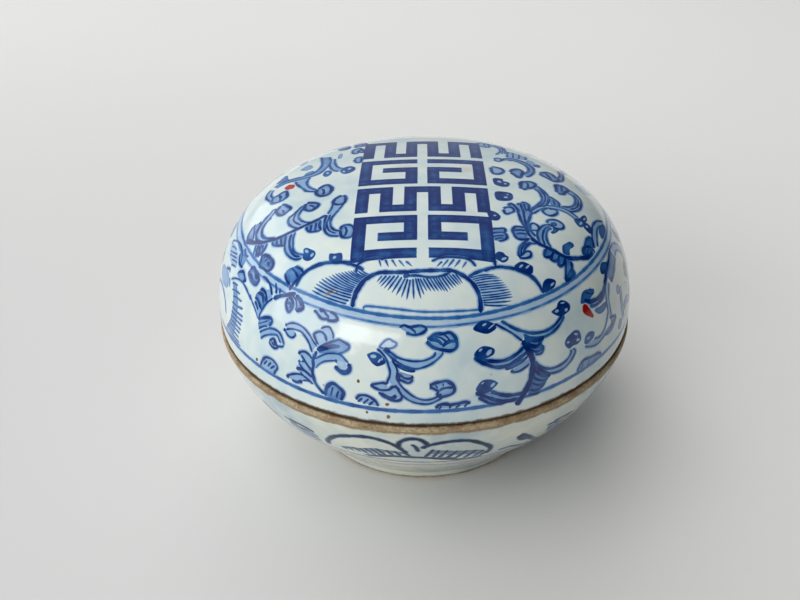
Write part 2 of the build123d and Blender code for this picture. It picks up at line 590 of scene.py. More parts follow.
def glaze_body_group():
    """Clear glaze over white clay: its colour drifts, with iron specks; its face is faintly wavy."""
    inputs = [("Tint", "Color", linear(224, 233, 231)), ("Pool", "Color", linear(196, 216, 218))]
    outputs = [("Color", "Color"), ("Roughness", "Float"), ("Normal", "Vector")]
    group, entry, leave = new_group("glaze_body", inputs, outputs)
    place = object_place(group)
    cloud = ranged(group, noise(group, place, 38.0, 3.0, 0.55), 0.38, 0.72)
    milk = ranged(group, noise(group, place, 210.0, 2.0), 0.35, 0.7, 0.0, 0.3)
    colour = mixed(group, cloud, entry.outputs["Tint"], entry.outputs["Pool"])
    colour = mixed(group, milk, colour, linear(232, 234, 222))
    cells = node(group, "TexVoronoi", None, Vector=place, Scale=190.0)
    rare = ranged(group, noise(group, place, 61.0, 1.0), 0.6, 0.68)
    dots = ranged(group, cells.outputs["Distance"], 0.03, 0.1, 1.0, 0.0)
    speck = arithmetic(group, "MULTIPLY", dots, rare)
    colour = mixed(group, speck, colour, linear(92, 66, 44))
    group.links.new(colour, leave.inputs["Color"])
    rough = ranged(group, noise(group, place, 90.0), 0.3, 0.7, 0.05, 0.1)
    group.links.new(rough, leave.inputs["Roughness"])
    wave = arithmetic(group, "MULTIPLY", noise(group, place, 120.0, 1.0), 4.0)
    skin = arithmetic(group, "ADD", wave, noise(group, place, 900.0, 2.0))
    bump = node(group, "Bump", None, Strength=0.35, Distance=0.00006, Height=skin)
    group.links.new(bump.outputs["Normal"], leave.inputs["Normal"])
    return group


glaze_body = glaze_body_group()


def new_material(name):
    """A material, its tree and its shader."""
    material = bpy.data.materials.new(name)
    material.use_nodes = True
    tree = material.node_tree
    shader = tree.nodes["Principled BSDF"]
    return material, tree, shader


def cover(tree, shader, colour, body):
    """Gives a shader its colour, and the gloss and the waves of the glaze."""
    tree.links.new(colour, shader.inputs["Base Color"])
    for part in ("Roughness", "Normal"):
        tree.links.new(body.outputs[part], shader.inputs[part])
    shader.inputs["IOR"].default_value = 1.5


def glazed(name, tint, pool, stain):
    """Glaze with a stain where it ends on the bare clay."""
    material, tree, shader = new_material(name)
    body = place_group(tree, glaze_body, Tint=tint, Pool=pool)
    edge = node(tree, "Attribute", {"attribute_name": "edge_distance"}).outputs["Fac"]
    stray = arithmetic(tree, "MULTIPLY", noise(tree, object_place(tree), 330.0, 5.0, 0.72), 2.0)
    near = ranged(tree, arithmetic(tree, "SUBTRACT", edge, stray), -0.75, 0.1, 1.0, 0.0)
    colour = mixed(tree, near, body.outputs["Color"], stain)
    cover(tree, shader, colour, body)
    return material


def underglaze(name, tint, pool, deep, middle, pale):
    """Blue under the same glaze. The load goes from glaze through pale and middle to deep blue."""
    material, tree, shader = new_material(name)
    body = place_group(tree, glaze_body, Tint=tint, Pool=pool)
    load = node(tree, "Attribute", {"attribute_name": "paint_load"}).outputs["Fac"]
    place = object_place(tree)
    grain = ranged(tree, noise(tree, place, 330.0, 4.0, 0.6), 0.3, 0.7, 0.9, 1.07)
    streak = ranged(tree, noise(tree, place, 70.0, 2.0), 0.35, 0.7, 0.92, 1.05)
    load = arithmetic(tree, "MULTIPLY", arithmetic(tree, "MULTIPLY", load, grain), streak)
    colour = mixed(tree, ranged(tree, load, 0.0, 0.28), body.outputs["Color"], pale)
    colour = mixed(tree, ranged(tree, load, 0.22, 0.58), colour, middle)
    colour = mixed(tree, ranged(tree, load, 0.56, 0.96), colour, deep)
    cover(tree, shader, colour, body)
    return material


def bare_clay(name, light, dark, seam_darkening_height, seam_darkening_reach):
    """Unglazed clay, burnt brown in patches, darkened in the groove where lid and base meet by dirt and
    painted shade.
    """
    material, tree, shader = new_material(name)
    place = object_place(tree)
    patch = ranged(tree, noise(tree, place, 170.0, 5.0, 0.65), 0.38, 0.66)
    colour = mixed(tree, patch, light, dark)
    grit = ranged(tree, noise(tree, place, 1500.0, 3.0, 0.6), 0.35, 0.75, 0.0, 0.7)
    colour = mixed(tree, grit, colour, linear(98, 74, 50))
    height = node(tree, "SeparateXYZ", None, _0=place).outputs["Z"]
    away = arithmetic(tree, "ABSOLUTE", arithmetic(tree, "SUBTRACT", height, seam_darkening_height * MM), 0.0)
    stray = arithmetic(tree, "MULTIPLY", noise(tree, place, 260.0, 4.0, 0.7), 2 * seam_darkening_reach * MM)
    # Dark band round the seam height: dirt and painted shade of the gap between lid and base.
    seam_dirt_and_shade = ranged(tree, arithmetic(tree, "SUBTRACT", away, stray), -0.0002, 0.0002, 0.85, 0.0)
    colour = mixed(tree, seam_dirt_and_shade, colour, linear(44, 34, 24))
    tree.links.new(colour, shader.inputs["Base Color"])
    shader.inputs["Roughness"].default_value = 0.8
    grain = noise(tree, place, 900.0, 5.0, 0.7)
    bump = node(tree, "Bump", None, Strength=0.6, Distance=0.0002, Height=grain)
    tree.links.new(bump.outputs["Normal"], shader.inputs["Normal"])
    return material


def oily_paste(name):
    """Cinnabar in oil: deep red, with painted shade darkening the folds, with short fibres and a wet shine.
    """
    material, tree, shader = new_material(name)
    place = object_place(tree)
    fold = node(tree, "Attribute", {"attribute_name": "fold_height"}).outputs["Fac"]
    patch = ranged(tree, noise(tree, place, 130.0, 4.0, 0.6), 0.35, 0.7)
    colour = mixed(tree, patch, linear(196, 30, 20), linear(168, 18, 14))
    # Painted shade: the red turns darker down in the furrows.
    colour = mixed(tree, ranged(tree, fold, 0.1, 0.9, 0.7, 0.0), colour, linear(112, 8, 8))
    tree.links.new(colour, shader.inputs["Base Color"])
    rough = ranged(tree, noise(tree, place, 260.0), 0.35, 0.7, 0.25, 0.5)
    tree.links.new(rough, shader.inputs["Roughness"])
    fibre = node(tree, "TexNoise", None, Vector=place, Scale=700.0, Detail=5.0, Roughness=0.7,
                 Distortion=1.5)
    bump = node(tree, "Bump", None, Strength=0.5, Distance=0.0003, Height=fibre.outputs["Fac"])
    tree.links.new(bump.outputs["Normal"], shader.inputs["Normal"])
    shader.inputs["Coat Weight"].default_value = 0.4
    shader.inputs["Coat Roughness"].default_value = 0.2
    return material


lid_tint, lid_pool = linear(210, 222, 218), linear(184, 206, 212)
# The bowl's glaze is the lid's glaze set darker and greener: painted shade for the bowl under the lid's
# overhang.
base_tint_shaded, base_pool_shaded = linear(208, 214, 201), linear(162, 182, 189)
lid_glaze_finish = glazed("lid_glaze_finish", lid_tint, lid_pool, linear(84, 62, 40))
base_glaze_shaded = glazed("base_glaze_shaded", base_tint_shaded, base_pool_shaded, linear(140, 120, 88))
deep_blue, middle_blue, pale_blue = linear(0, 37, 104), linear(44, 102, 164), linear(138, 172, 206)
lid_blue = underglaze("lid_blue", lid_tint, lid_pool, deep_blue, middle_blue, pale_blue)
# The bowl's blues are darker than the lid's: painted shade for the bowl under the lid's overhang.
base_blue_shaded = underglaze(
    "base_blue_shaded", base_tint_shaded, base_pool_shaded, linear(4, 26, 58), linear(34, 64, 100), linear(112, 138, 164))
base_blue_shaded.node_tree.nodes["Principled BSDF"].inputs["Specular IOR Level"].default_value = 0.3
lid_clay = bare_clay("lid_clay", linear(186, 160, 120), linear(140, 108, 74), seam_height, 0.5)
base_clay = bare_clay("base_clay", linear(188, 170, 136), linear(146, 120, 88), seam_height, 0.16)
paste_finish = oily_paste("paste_finish")

for pot, clay in (("lid", lid_clay), ("base", base_clay)):
    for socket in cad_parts[pot].material_slots:
        socket.material = clay

# Glaze skins
glaze_skin("lid_glaze", dome, None, dome.length - 0.5, "lid", lid_glaze_finish, 11)
glaze_skin(
    "lid_inner_glaze", dome_inside, None, dome_inside.length - 2.6, "lid",
    lid_glaze_finish, 21, 0.6, 240, 0.6)
glaze_skin(
    "bowl_glaze", bowl, lip_height - 0.2, bowl.length - 0.9, "base", base_glaze_shaded,
    31, 0.4)
glaze_skin(
    "bowl_inner_glaze", bowl_inside, None, bowl_inside.length - 2.2, "base",
    base_glaze_shaded, 41, 0.6, 240, 0.6)
glaze_skin(
    "foot_glaze", underside, None, underside.length - 1.4, "base", base_glaze_shaded,
    51, 0.5, 180, 0.7)

# Fret on the top of the lid, in broad dark strokes
fret = Brush(on_top, 5)
stroke = 3.5


def square_spiral(low, high, flip):
    """Mirrored pair of square spirals between two heights. Flip turns them upside down."""
    for hand in (-1, 1):
        path = np.array([(3.0, low), (15.8, low), (15.8, high), (3.0, high), (3.0, low + 6.2),
                         (9.5, low + 6.2)])
        if flip:
            path[:, 1] = low + high - path[:, 1]
        path[:, 0] *= hand
        fret.run(path, stroke)


def battlement(low, high, half_width, teeth):
    """Band that steps up and down between two heights, its run even from side to side."""
    x = np.repeat(np.linspace(-half_width, half_width, teeth), 2)
    y = np.tile([low, high, high, low], teeth)[:2 * teeth]
    fret.run(np.stack([x, y], -1), stroke)


square_spiral(-37.7, -24.3, False)
battlement(-19.2, -9.7, 15.8, 6)
square_spiral(-4.7, 9.2, True)
battlement(14.7, 28.2, 15.8, 6)
fret.finish("lid_top_fret", "lid", lid_blue)

# Lines round the lid and the lotus petals on its shoulder


def doubled(strokes):
    """The strokes, with one more midway between each two neighbours."""
    given = np.array(strokes, float)
    more = np.empty((2 * len(given) - 1, *given.shape[1:]))
    more[::2], more[1::2] = given, (given[1:] + given[:-1]) / 2
    return more


bands = Brush(on_side, 7, (0.0, 180.0))
upper = [
    (-91, 29.4), (-75, 30), (-60, 30), (-50, 29.6), (-38, 29.4), (-30, 29.2), (-20, 28.7), (-10, 28.3),
    (0, 28), (10, 27.8), (20, 28), (30, 28.3), (45, 28.8), (60, 29.4), (75, 29.5), (91, 29.4)]
second = [
    (-91, 27.6), (-60, 28), (-35, 27.3), (-25, 27), (-15, 26.6), (0, 26), (15, 26.2), (30, 26.4),
    (60, 27.6), (91, 27.6)]
bands.strip(second, upper, 0.2)
bands.line(upper, 0.95, 0.66, (0.01, 0.01))
bands.line(second, 1.3, 0.24, (0.01, 0.01))
bands.line(second, 0.7, 0.55, (0.01, 0.01))
lower = [
    (-91, 5.4), (-70, 5.7), (-50, 5.6), (-35, 5.3), (-20, 4.9), (-10, 4.8), (10, 5), (30, 5.2), (45, 5.5),
    (70, 5.5), (91, 5.4)]
bands.line(lower, 1.5, 0.24, (0.01, 0.01))
bands.line(lower, 1.15, 0.7, (0.01, 0.01))

bands.line(
    [(-18.7, 29), (-19, 31.5), (-18.7, 33.5), (-18, 35.2), (-16.8, 36.7), (-15, 37.9), (-13, 38.7),
     (-10, 39), (-5, 39.4), (0, 39.8), (5, 39.8), (9, 39.5), (12, 38), (14.2, 36), (15.2, 34), (15.5, 32),
     (15.3, 30), (14.8, 28.2)], 1.15, 0.95)
bands.line([(-18.9, 30), (-18.6, 33), (-17.4, 36), (-15, 37.8)], 1.3, 1.0, (1.5, 1.5))
bands.line([(-6, 38.2), (-2, 38.5), (2, 38), (6, 38.3), (9, 39.3)], 0.8, 0.9)
bands.spot((-5, 38.4), 2.2, 1.5, 0, 0.8, 0.9)
fan = [
    [(-12.3, 38), (-13.6, 36)], [(-9.7, 38.2), (-12.2, 35)], [(-7.3, 38.4), (-10, 34.2)],
    [(-5.2, 37.8), (-7.4, 33.2)], [(-3.7, 37.5), (-4.4, 32.2)], [(-2.2, 37.9), (-0.5, 32.6)],
    [(-0.9, 37.8), (1.2, 34.4)], [(1, 38), (3.5, 34.2)], [(3, 38), (5.4, 34.3)], [(4.6, 38.1), (7, 34)],
    [(6.3, 38.4), (8.8, 34.8)], [(8, 38.6), (10.4, 35.4)], [(10, 38.6), (11.6, 35.8)]]
bands.hatch(doubled(fan), 0.5, 0.92)
bands.line(
    [(-39, 28.4), (-38.4, 31), (-37, 34), (-35.5, 36), (-33.5, 37.5), (-31, 38.6), (-28, 39.4),
     (-25, 39.6), (-21.5, 39.4), (-18.5, 38.6)], 1.0, 0.9)
left_ribs = [
    [(-32, 30.6), (-27, 30), (-20.5, 29.6)], [(-31.6, 32.4), (-26, 31.6), (-19.6, 31.2)],
    [(-30.6, 34), (-26, 33), (-19.8, 32.5)], [(-28.8, 35.2), (-24, 34), (-19.6, 33.4)],
    [(-27.2, 36.3), (-23, 35), (-19.2, 34.3)], [(-25.5, 37), (-22, 35.9), (-18.6, 35.3)],
    [(-23.6, 37.7), (-20.8, 36.7), (-18.1, 36.1)], [(-22, 38.2), (-19.8, 37.3), (-17.4, 36.9)],
    [(-20, 38.8), (-18, 38), (-16.4, 37.7)]]
bands.hatch(doubled([rib[::-1] for rib in left_ribs]), 0.46, 0.9, 0.26)
bands.line(
    [(13.6, 37.2), (16, 38), (20, 38.6), (24, 38.4), (27, 37.6), (29.5, 36.3), (31.5, 34.8), (32.8, 33.2),
     (33.7, 31.6), (34, 28.8)], 0.95, 0.85)
right_ribs = [
    [(14.2, 37), (18, 37.2), (21.8, 36.7)], [(15, 36), (19, 36.1), (23.2, 35.6)],
    [(15.6, 34.8), (20, 34.6), (23.8, 34.2)], [(16, 33.6), (20, 33.4), (24.4, 33)],
    [(16, 32.2), (20, 31.9), (24.8, 31.7)], [(16, 31), (20, 30.8), (24.8, 30.4)],
    [(16, 30), (19.6, 29.2), (23.2, 28.7)]]
bands.hatch(doubled(right_ribs), 0.44, 0.88, 0.24)
bands.hatch(
    [[(-14.8, 42.2), (-13.4, 40.2)], [(-12.8, 42.6), (-11, 40.4)], [(-10.6, 42.8), (-8.4, 40.6)],
     [(-8.2, 42.8), (-5.8, 40.8)], [(-5.8, 42.6), (-3.4, 41)]], 0.5, 0.85)
bands.hatch(
    [[(14.6, 41.6), (12.4, 39.8)], [(12.8, 42.4), (10, 40.3)], [(10.8, 42.8), (7.8, 40.4)],
     [(8.8, 42.8), (6, 40.6)], [(6.6, 42.4), (4.4, 40.8)]], 0.5, 0.85)
bands.lines(0.65, [(-15.5, 28.8), (-15, 29.9), (-8, 30), (0, 29.5), (8, 29.3), (14.8, 29)], load=0.6)

# Scrolls on the side of the lid, and the lotus seen from its edge between them
side = Brush(on_side, 9, (0.0, 180.0))
side.lines(
    0.75, [(-50.8, 28.1), (-48.8, 28.1), (-47, 27.7), (-45.5, 26.9), (-44.5, 25.9), (-43.8, 25.4)],
    [(-44.7, 28.6), (-43.5, 27.4), (-42.6, 26.2)], [(-42.2, 28), (-41.5, 26.6)])
side.lines(
    1.1, [(-36.2, 28.4), (-38, 27.8), (-39, 27.2), (-40.8, 26.4), (-42, 25.6), (-43.2, 24.9)],
    [(-36.2, 28.2), (-34.8, 27.6), (-34, 27.5), (-33.1, 26.6), (-32.5, 25.8), (-33.5, 25.1),
     (-34.5, 24.5)])
side.lines(
    0.75,
    [(-43.2, 24.9), (-44.2, 23.8), (-44.8, 23), (-45.2, 22), (-45.6, 20.8), (-46, 19.5), (-46.1, 18)])
side.strip(
    [(-43.5, 25.2), (-44.8, 23.2), (-45.6, 20.8), (-46.1, 18)],
    [(-45.6, 26.6), (-48.6, 24.6), (-48.2, 21), (-46.6, 18)], 0.38)
side.lines(
    0.95, [(-49.2, 24.8), (-48.2, 25.3), (-46.8, 25.1), (-45.8, 24.4), (-44.9, 23.3)],
    [(-49.6, 23.9), (-48.2, 24.1), (-47, 23.8), (-46, 22.4)],
    [(-50, 22.5), (-48.5, 22.5), (-47.5, 21.8), (-46.4, 20.9)],
    [(-49.5, 21.7), (-48.2, 21), (-47.1, 20.1)])
side.lines(
    0.5, [(-52.5, 22.2), (-50.5, 21), (-48.8, 20.1), (-47.3, 19), (-46.4, 18)],
    [(-38, 27.8), (-36.5, 27.5), (-35.2, 26.7), (-34.6, 25.6), (-34.8, 24.5)],
    [(-34.8, 27.3), (-33.8, 26.6), (-33.4, 25.9)],
    [(-45.8, 17), (-44.5, 17.8), (-43, 18.8), (-42.4, 19.3)])
side.washes(
    0.5,
    [(-38.2, 26.8), (-37.2, 26.9), (-36, 26), (-35.7, 25.1), (-36, 24.3), (-36.5, 23.6), (-37.5, 24.3),
     (-38.2, 25.3)], [(-36, 27.9), (-34.4, 27.2), (-33.2, 26.2), (-34.4, 24.8), (-35.2, 25.8)],
    [(-46, 18), (-43.5, 19.6), (-41.6, 19.8), (-41.6, 18.4), (-43.3, 17.4), (-45.4, 16)])
side.loop(
    [(-38.2, 26.8), (-37.2, 26.9), (-36, 26), (-35.7, 25.1), (-36, 24.3), (-36.5, 23.6), (-37.5, 24.3),
     (-38.2, 25.3)], 0.9)
side.lines(
    1.0, [(-38, 25.5), (-37, 25.7), (-36.4, 25.2), (-36.8, 24.6)],
    [(-46.4, 18), (-45, 18.8), (-43.5, 19.6), (-42, 20.1), (-41.1, 19.8), (-41.2, 19), (-41.9, 17.9)])
side.branch(
    [(-44.8, 15), (-43.8, 15.9), (-42.3, 17), (-40.8, 17.8), (-38.8, 18), (-37.3, 17.5), (-36.3, 16.3),
     (-35.6, 15.2)],
    [(-44.1, 13.6), (-43, 14.8), (-41.5, 15.8), (-40, 16.5), (-38.5, 16.9), (-37.5, 16.1), (-36.9, 15.3)],
    0.36, 0.7)
side.lines(
    0.7, [(-45.4, 15.8), (-44.5, 16.6), (-43.3, 17.4), (-42.1, 17.8)],
    [(-35.6, 15.2), (-36.5, 14.6), (-37.8, 14.3), (-38.8, 14.6), (-39.3, 15.5)],
    [(-40.9, 14.3), (-40, 13.6), (-39, 13.3), (-38, 13.6), (-37.3, 14.4)],
    [(-40.9, 14.3), (-40, 15.2), (-39.3, 15.7), (-38.5, 15), (-38, 14.5)],
    [(-40, 14.7), (-39.2, 14.1), (-38.6, 14)])
side.washes(0.4, [(-40.9, 14.3), (-40, 15.2), (-39.3, 15.6), (-38, 14.6), (-37.4, 14.3), (-39, 13.3)])
side.nub(
    [(-43.8, 5.8), (-42.9, 7.8), (-41.8, 9.3), (-40.3, 9.9), (-38.8, 9.8), (-37.6, 9), (-37.4, 8.2),
     (-38, 7.2), (-38.8, 5.8)],
    [[(-42.4, 7), (-41, 8.8)], [(-41, 7), (-39.5, 9)], [(-40, 6.9), (-38.2, 8.6)]], 0.8)

side.lines(
    0.6,
    [(-36.3, 20.3), (-35.3, 21.1), (-34, 21.6), (-32.3, 21.7), (-30.5, 21.3), (-28.8, 20.3), (-27.3, 19),
     (-26.1, 18)],
    [(-36, 19.3), (-34.5, 20), (-33, 20.3), (-31.3, 20.3), (-29.8, 19.5), (-28.5, 18.3), (-27.6, 16.9),
     (-27.3, 16.1)],
    [(-36.2, 19.3), (-35.5, 18.5), (-34.5, 18), (-33.5, 18.1), (-32.8, 18.9), (-33.1, 19.6)])
side.strip(
    [(-36.3, 20.3), (-34, 21.6), (-31.4, 21.6), (-28.8, 20.3), (-26.1, 18)],
    [(-36, 19.5), (-33, 20.3), (-31, 20.2), (-28.5, 18.3), (-27.3, 16.1)], 0.3)
side.washes(0.3, [(-36, 19.3), (-35.4, 18.4), (-34.3, 18), (-33, 18.6), (-33.2, 19.8), (-34.6, 20)])
side.lines(1.1, [(-36.5, 20.1), (-35.9, 20.8)], [(-36.5, 19.6), (-36.1, 18.6)])
side.lines(
    0.8,
    [(-25.8, 18.5), (-26.6, 19.4), (-27.3, 20.3), (-27.4, 20.9), (-26.5, 21.6), (-25.5, 21.8),
     (-24.5, 21.3), (-24, 20.5), (-23.8, 19.8)],
    [(-25.8, 17.6), (-24.3, 19), (-22.8, 19.9), (-21.5, 20.6), (-20.5, 21), (-19, 20.6), (-17.9, 20.1),
     (-18, 19.3), (-19, 18.4), (-20, 17.8), (-20.5, 17.6)])
side.lines(0.55, [(-26, 22.5), (-25, 23.1), (-23.8, 23.4), (-22.8, 22.6), (-22.3, 21.8), (-22.1, 20.7)])
side.washes(
    0.3, [(-27.2, 20.8), (-25.5, 21.7), (-24, 20.5), (-24, 19.6), (-25.6, 18.5)],
    [(-25.8, 22.3), (-23.8, 23.3), (-22.4, 21.8), (-22.3, 20.6), (-23.8, 20.4), (-24.4, 21.4)])
side.washes(
    0.5,
    [(-25.6, 17.7), (-22.8, 19.8), (-20.5, 20.8), (-18, 20), (-18.8, 18.6), (-20.5, 17.7), (-23, 17.2),
     (-25.6, 16.4)])
side.lines(
    1.3, [(-26.1, 17.4), (-25, 17.6), (-23.5, 18.5), (-22, 19.1), (-20, 19.5)],
    [(-26.2, 17.2), (-25.2, 17.8)])
side.branch(
    [(-26.4, 14.8), (-25, 15.9), (-23.5, 16.9), (-22, 17.4), (-20.5, 17.6), (-19.5, 17.4), (-18.5, 16.6),
     (-17.6, 15.8)], [(-26, 12.5), (-25.3, 13.6), (-24, 14.8), (-22.5, 15.4), (-21, 15.8), (-20.3, 15.9)],
    0.34, 0.6)
side.lines(
    1.3, [(-17.7, 15.9), (-17.2, 14.8), (-17.7, 13.7), (-18.8, 13.3), (-20, 13.7), (-21, 14.6)],
    [(-21.1, 15.7), (-20.4, 15.9)])
side.washes(0.25, [(-20.6, 15.6), (-19.4, 16.8), (-18, 15.4), (-18.4, 14.2), (-20, 14.4)])
side.lines(
    1.0,
    [(-26, 17), (-26.4, 15.8), (-26.8, 14.5), (-26.6, 13), (-26.8, 11.5), (-26.4, 10), (-26, 8.8),
     (-25.3, 7.8), (-24.3, 6.8), (-23.3, 6.1)])
side.strip(
    [(-27.4, 16), (-27.4, 13), (-27, 10.4), (-26.4, 8.4)],
    [(-26, 17), (-26.8, 13), (-26.4, 10), (-26, 8.8)], 0.35)
side.lines(
    0.7, [(-31.3, 14.8), (-30.5, 15.4), (-29.3, 15.8), (-28, 15.4), (-27, 14.5)],
    [(-30.4, 14.8), (-29.3, 13.8), (-28, 12.5), (-27, 12)],
    [(-30.1, 13), (-29, 13.3), (-28, 12.4), (-27.1, 11.3)],
    [(-30.8, 12.5), (-29.8, 11.6), (-28.8, 10.8), (-27.5, 10.3)],
    [(-30.3, 10.3), (-29.5, 9.6), (-28.5, 9)],
    [(-34.5, 7.4), (-33.5, 8), (-32, 8.9), (-30.5, 9.4), (-29.3, 9.4), (-27.8, 8.8), (-26.4, 7.9)])
side.lines(
    1.0, [(-31.3, 14.8), (-30.3, 15.3)], [(-31.1, 12.8), (-30.1, 12.9)],
    [(-31.5, 10.6), (-30.3, 11), (-28.8, 10.9), (-27.5, 10.2), (-26.6, 9.8)],
    [(-34.6, 7.3), (-33.4, 7.5)], [(-32.8, 7), (-31.5, 6.8), (-30.3, 7.3), (-29.5, 7.9)])
side.lines(0.6, [(-29.5, 7.9), (-28.5, 8.4), (-27, 8.4)])
side.washes(
    0.34, [(-31, 14.8), (-29.3, 15.7), (-27.2, 14.5), (-27, 12.4), (-29, 13.8)],
    [(-30.9, 12.6), (-29, 13.2), (-27.1, 11.4), (-27.4, 10.4), (-29.4, 11.4)],
    [(-31, 10.6), (-28.8, 10.8), (-26.8, 9.6), (-27, 8.8), (-29.4, 9.4)],
    [(-34.3, 7.4), (-31.6, 9), (-29.3, 9.3), (-27, 8.3), (-29.6, 7.8), (-31.6, 6.9)])
side.nub(
    [(-23.3, 5.6), (-22.9, 8), (-22, 9.4), (-21, 9.8), (-19.5, 8.9), (-18.6, 8), (-18.8, 7),
     (-19.3, 5.4)], [[(-21.9, 6), (-21.2, 8.9)], [(-20.5, 5.8), (-19.8, 8.2)]], 1.1, 0.5)
side.nub(
    [(-29.3, 26.2), (-28.3, 26), (-27.4, 25.4), (-26.3, 24.9), (-25, 25.1), (-24.5, 25.6), (-25.5, 26.2),
     (-26.5, 26.9), (-27.8, 26.7)], [[(-27.6, 26.6), (-26.2, 26.5)]], 0.8)
side.nub(
    [(-24.6, 26.9), (-23.5, 26.8), (-22.5, 26.3), (-22, 25.6), (-22.8, 25.1), (-24, 24.9), (-25, 25)], [],
    0.9)

side.lines(
    0.55,
    [(-9.2, 20.7), (-10.3, 20.9), (-9.2, 22.4), (-8.1, 22.9), (-7.3, 22.5), (-6.3, 22), (-6.8, 21.2),
     (-7.8, 20.8), (-9.2, 20.7)])
side.washes(0.22, [(-9.8, 21), (-8.1, 22.7), (-6.5, 22), (-7.8, 21)])
side.branch(
    [(-8.6, 20.4), (-7.3, 19.6), (-6, 18.8), (-4.4, 18.3), (-2.3, 18), (-0.2, 18.1), (1.4, 18.6),
     (2.6, 19.3), (2.9, 20.3)],
    [(-9.7, 20.4), (-8.4, 19.5), (-7.1, 18.4), (-5.5, 17.4), (-3.6, 16.6), (-1.8, 16.2), (0.1, 16.6),
     (1.9, 17.4), (3.5, 18.6), (4.4, 19.5), (4.7, 20.3)], 0.3, 0.65)
side.lines(1.1, [(-9.4, 20.7), (-8.4, 20.3), (-7.6, 19.6)])
side.washes(0.55, [(-9.4, 20.6), (-8.2, 20.6), (-6, 18.6), (-6.6, 17.8)])
side.lines(
    0.65,
    [(-11, 20.5), (-9.7, 19.5), (-8.6, 18.2), (-8, 16.6), (-7.6, 15.3), (-7.7, 13.9), (-8.1, 12.9),
     (-8.4, 11.8)],
    [(-7.3, 18.2), (-6.3, 16.6), (-5.9, 15.3), (-6, 13.7), (-5.5, 12.6), (-4.7, 11.4), (-3.6, 10.3),
     (-2.3, 9.2), (-0.7, 8.4), (0.8, 8.2), (2.4, 8.6), (3.6, 9.4)],
    [(-6.4, 12.1), (-5.5, 10.3), (-4.2, 8.8), (-2.3, 7.6), (-0.2, 7.1), (1.6, 7.2), (3.5, 8.2),
     (4.6, 9.2)])
side.strip(
    [(-8.4, 18), (-7.6, 15.3), (-7.9, 13), (-7, 11.6)],
    [(-7.2, 18), (-5.9, 15.3), (-6, 13.7), (-5.6, 12)], 0.3)
side.strip(
    [(-5.9, 13.2), (-4.7, 11.4), (-2.3, 9.2), (0.8, 8.2), (3.6, 9.4)],
    [(-6.4, 12.1), (-4.2, 8.8), (-0.2, 7.1), (1.6, 7.2), (4.6, 9.2)], 0.38)
side.washes(
    0.95,
    [(-6.9, 17.6), (-5.5, 17.1), (-4.2, 16.6), (-2.8, 16.1), (-1.5, 15.8), (-2.1, 15.2), (-3.4, 15.3),
     (-4.7, 15.7), (-6.2, 16.5)], [(-6.2, 15), (-5.4, 14.7), (-5.1, 13.6), (-5.4, 12.6), (-6.2, 13.2)])
side.washes(0.42, [(-6, 15.4), (-3.4, 14.9), (-2.3, 14.6), (-2.6, 13.2), (-3.6, 12.6), (-6, 13.4)])
side.lines(
    0.8, [(-6.3, 15), (-5.2, 14.5), (-4.2, 13.8), (-2.8, 13.8), (-2.3, 14.6)],
    [(-6.1, 13.4), (-4.9, 13.2), (-3.4, 12.6), (-2.6, 13.2), (-2.4, 13.9)])
side.blot(
    [(-13.4, 18.7), (-12.8, 19.2), (-11.7, 19.7), (-10.5, 19.5), (-9.4, 18.8), (-8.5, 17.9), (-8.6, 17.1),
     (-9.7, 16.4), (-10.7, 16.1), (-11.8, 16.6), (-12.7, 17.6)], (-11.7, 18.5, 1.5, 1.1, 0),
    (-10.2, 17.6, 1.6, 0.5, 60), (-9.6, 18.1, 0.9, 0.4, 80))
side.lines(
    0.8, [(-12.2, 11.3), (-10.7, 11.8), (-9.2, 12.2), (-8.1, 12)],
    [(-12.2, 11.3), (-11, 10.7), (-9.7, 10.3), (-8.4, 10.4), (-7.6, 10.7), (-6.9, 11.4), (-6, 11.3),
     (-5.2, 10.4)],
    [(-10.2, 9.8), (-9.2, 8.9), (-7.8, 8), (-6.5, 7.7), (-5.3, 8), (-4.8, 8.9), (-5.2, 10), (-5.9, 10.9)])
side.lines(
    1.2, [(-12.1, 11.3), (-11.3, 11.2)],
    [(-9.8, 9.6), (-8.8, 8.8), (-7.6, 8.4), (-6.6, 8.6), (-6.3, 9.5)])
side.washes(
    0.32, [(-11.6, 11.3), (-9.2, 12), (-8, 11.6), (-8.4, 10.5), (-9.8, 10.4)],
    [(-10, 9.7), (-8.4, 10.3), (-7, 11.2), (-5.4, 10.4), (-4.9, 9), (-6.4, 7.9), (-8.4, 8.4)])
side.leaf(
    [(1, 22.9), (2.2, 23.8), (3.2, 24.3), (4.8, 24.3), (6.4, 24.5), (7.4, 23.8), (8, 22.6), (7.9, 21),
     (6.6, 20.3), (5, 20.5), (3.7, 20.8), (2.4, 21.3), (1.5, 22)], 0.95, 0.45)
side.lines(
    1.0, [(1.4, 23), (2.9, 23), (4, 22.4), (4.5, 21.6)],
    [(4.5, 21.3), (5.6, 22.2), (6.9, 22.5), (8, 22.2)])
side.lines(0.6, [(2.4, 23.8), (4, 23.5), (5, 22.9), (5.8, 22.1)], [(4.8, 24.3), (5.8, 23.5), (6.4, 22.6)])
side.washes(
    0.12, [(1.9, 22.2), (2.6, 22.7), (3.6, 22.1), (3.8, 21.4), (2.8, 21.6)],
    [(5.4, 21.3), (6.4, 21.9), (7.4, 21.6), (6.6, 20.8)])
side.leaf(
    [(1.4, 11.8), (2.4, 12.5), (4, 12.9), (5.6, 13), (6.6, 12.1), (7.1, 10.8), (6.6, 9.7), (5.3, 9.2),
     (4, 9), (3.2, 9.5), (3.3, 10.5), (2.4, 11.2)], 0.9, 0.42)
side.lines(0.85, [(3.5, 10.4), (4.3, 11.1), (5.6, 11.3), (6.9, 11.2)], [(3.5, 9.7), (4.2, 9.5)])
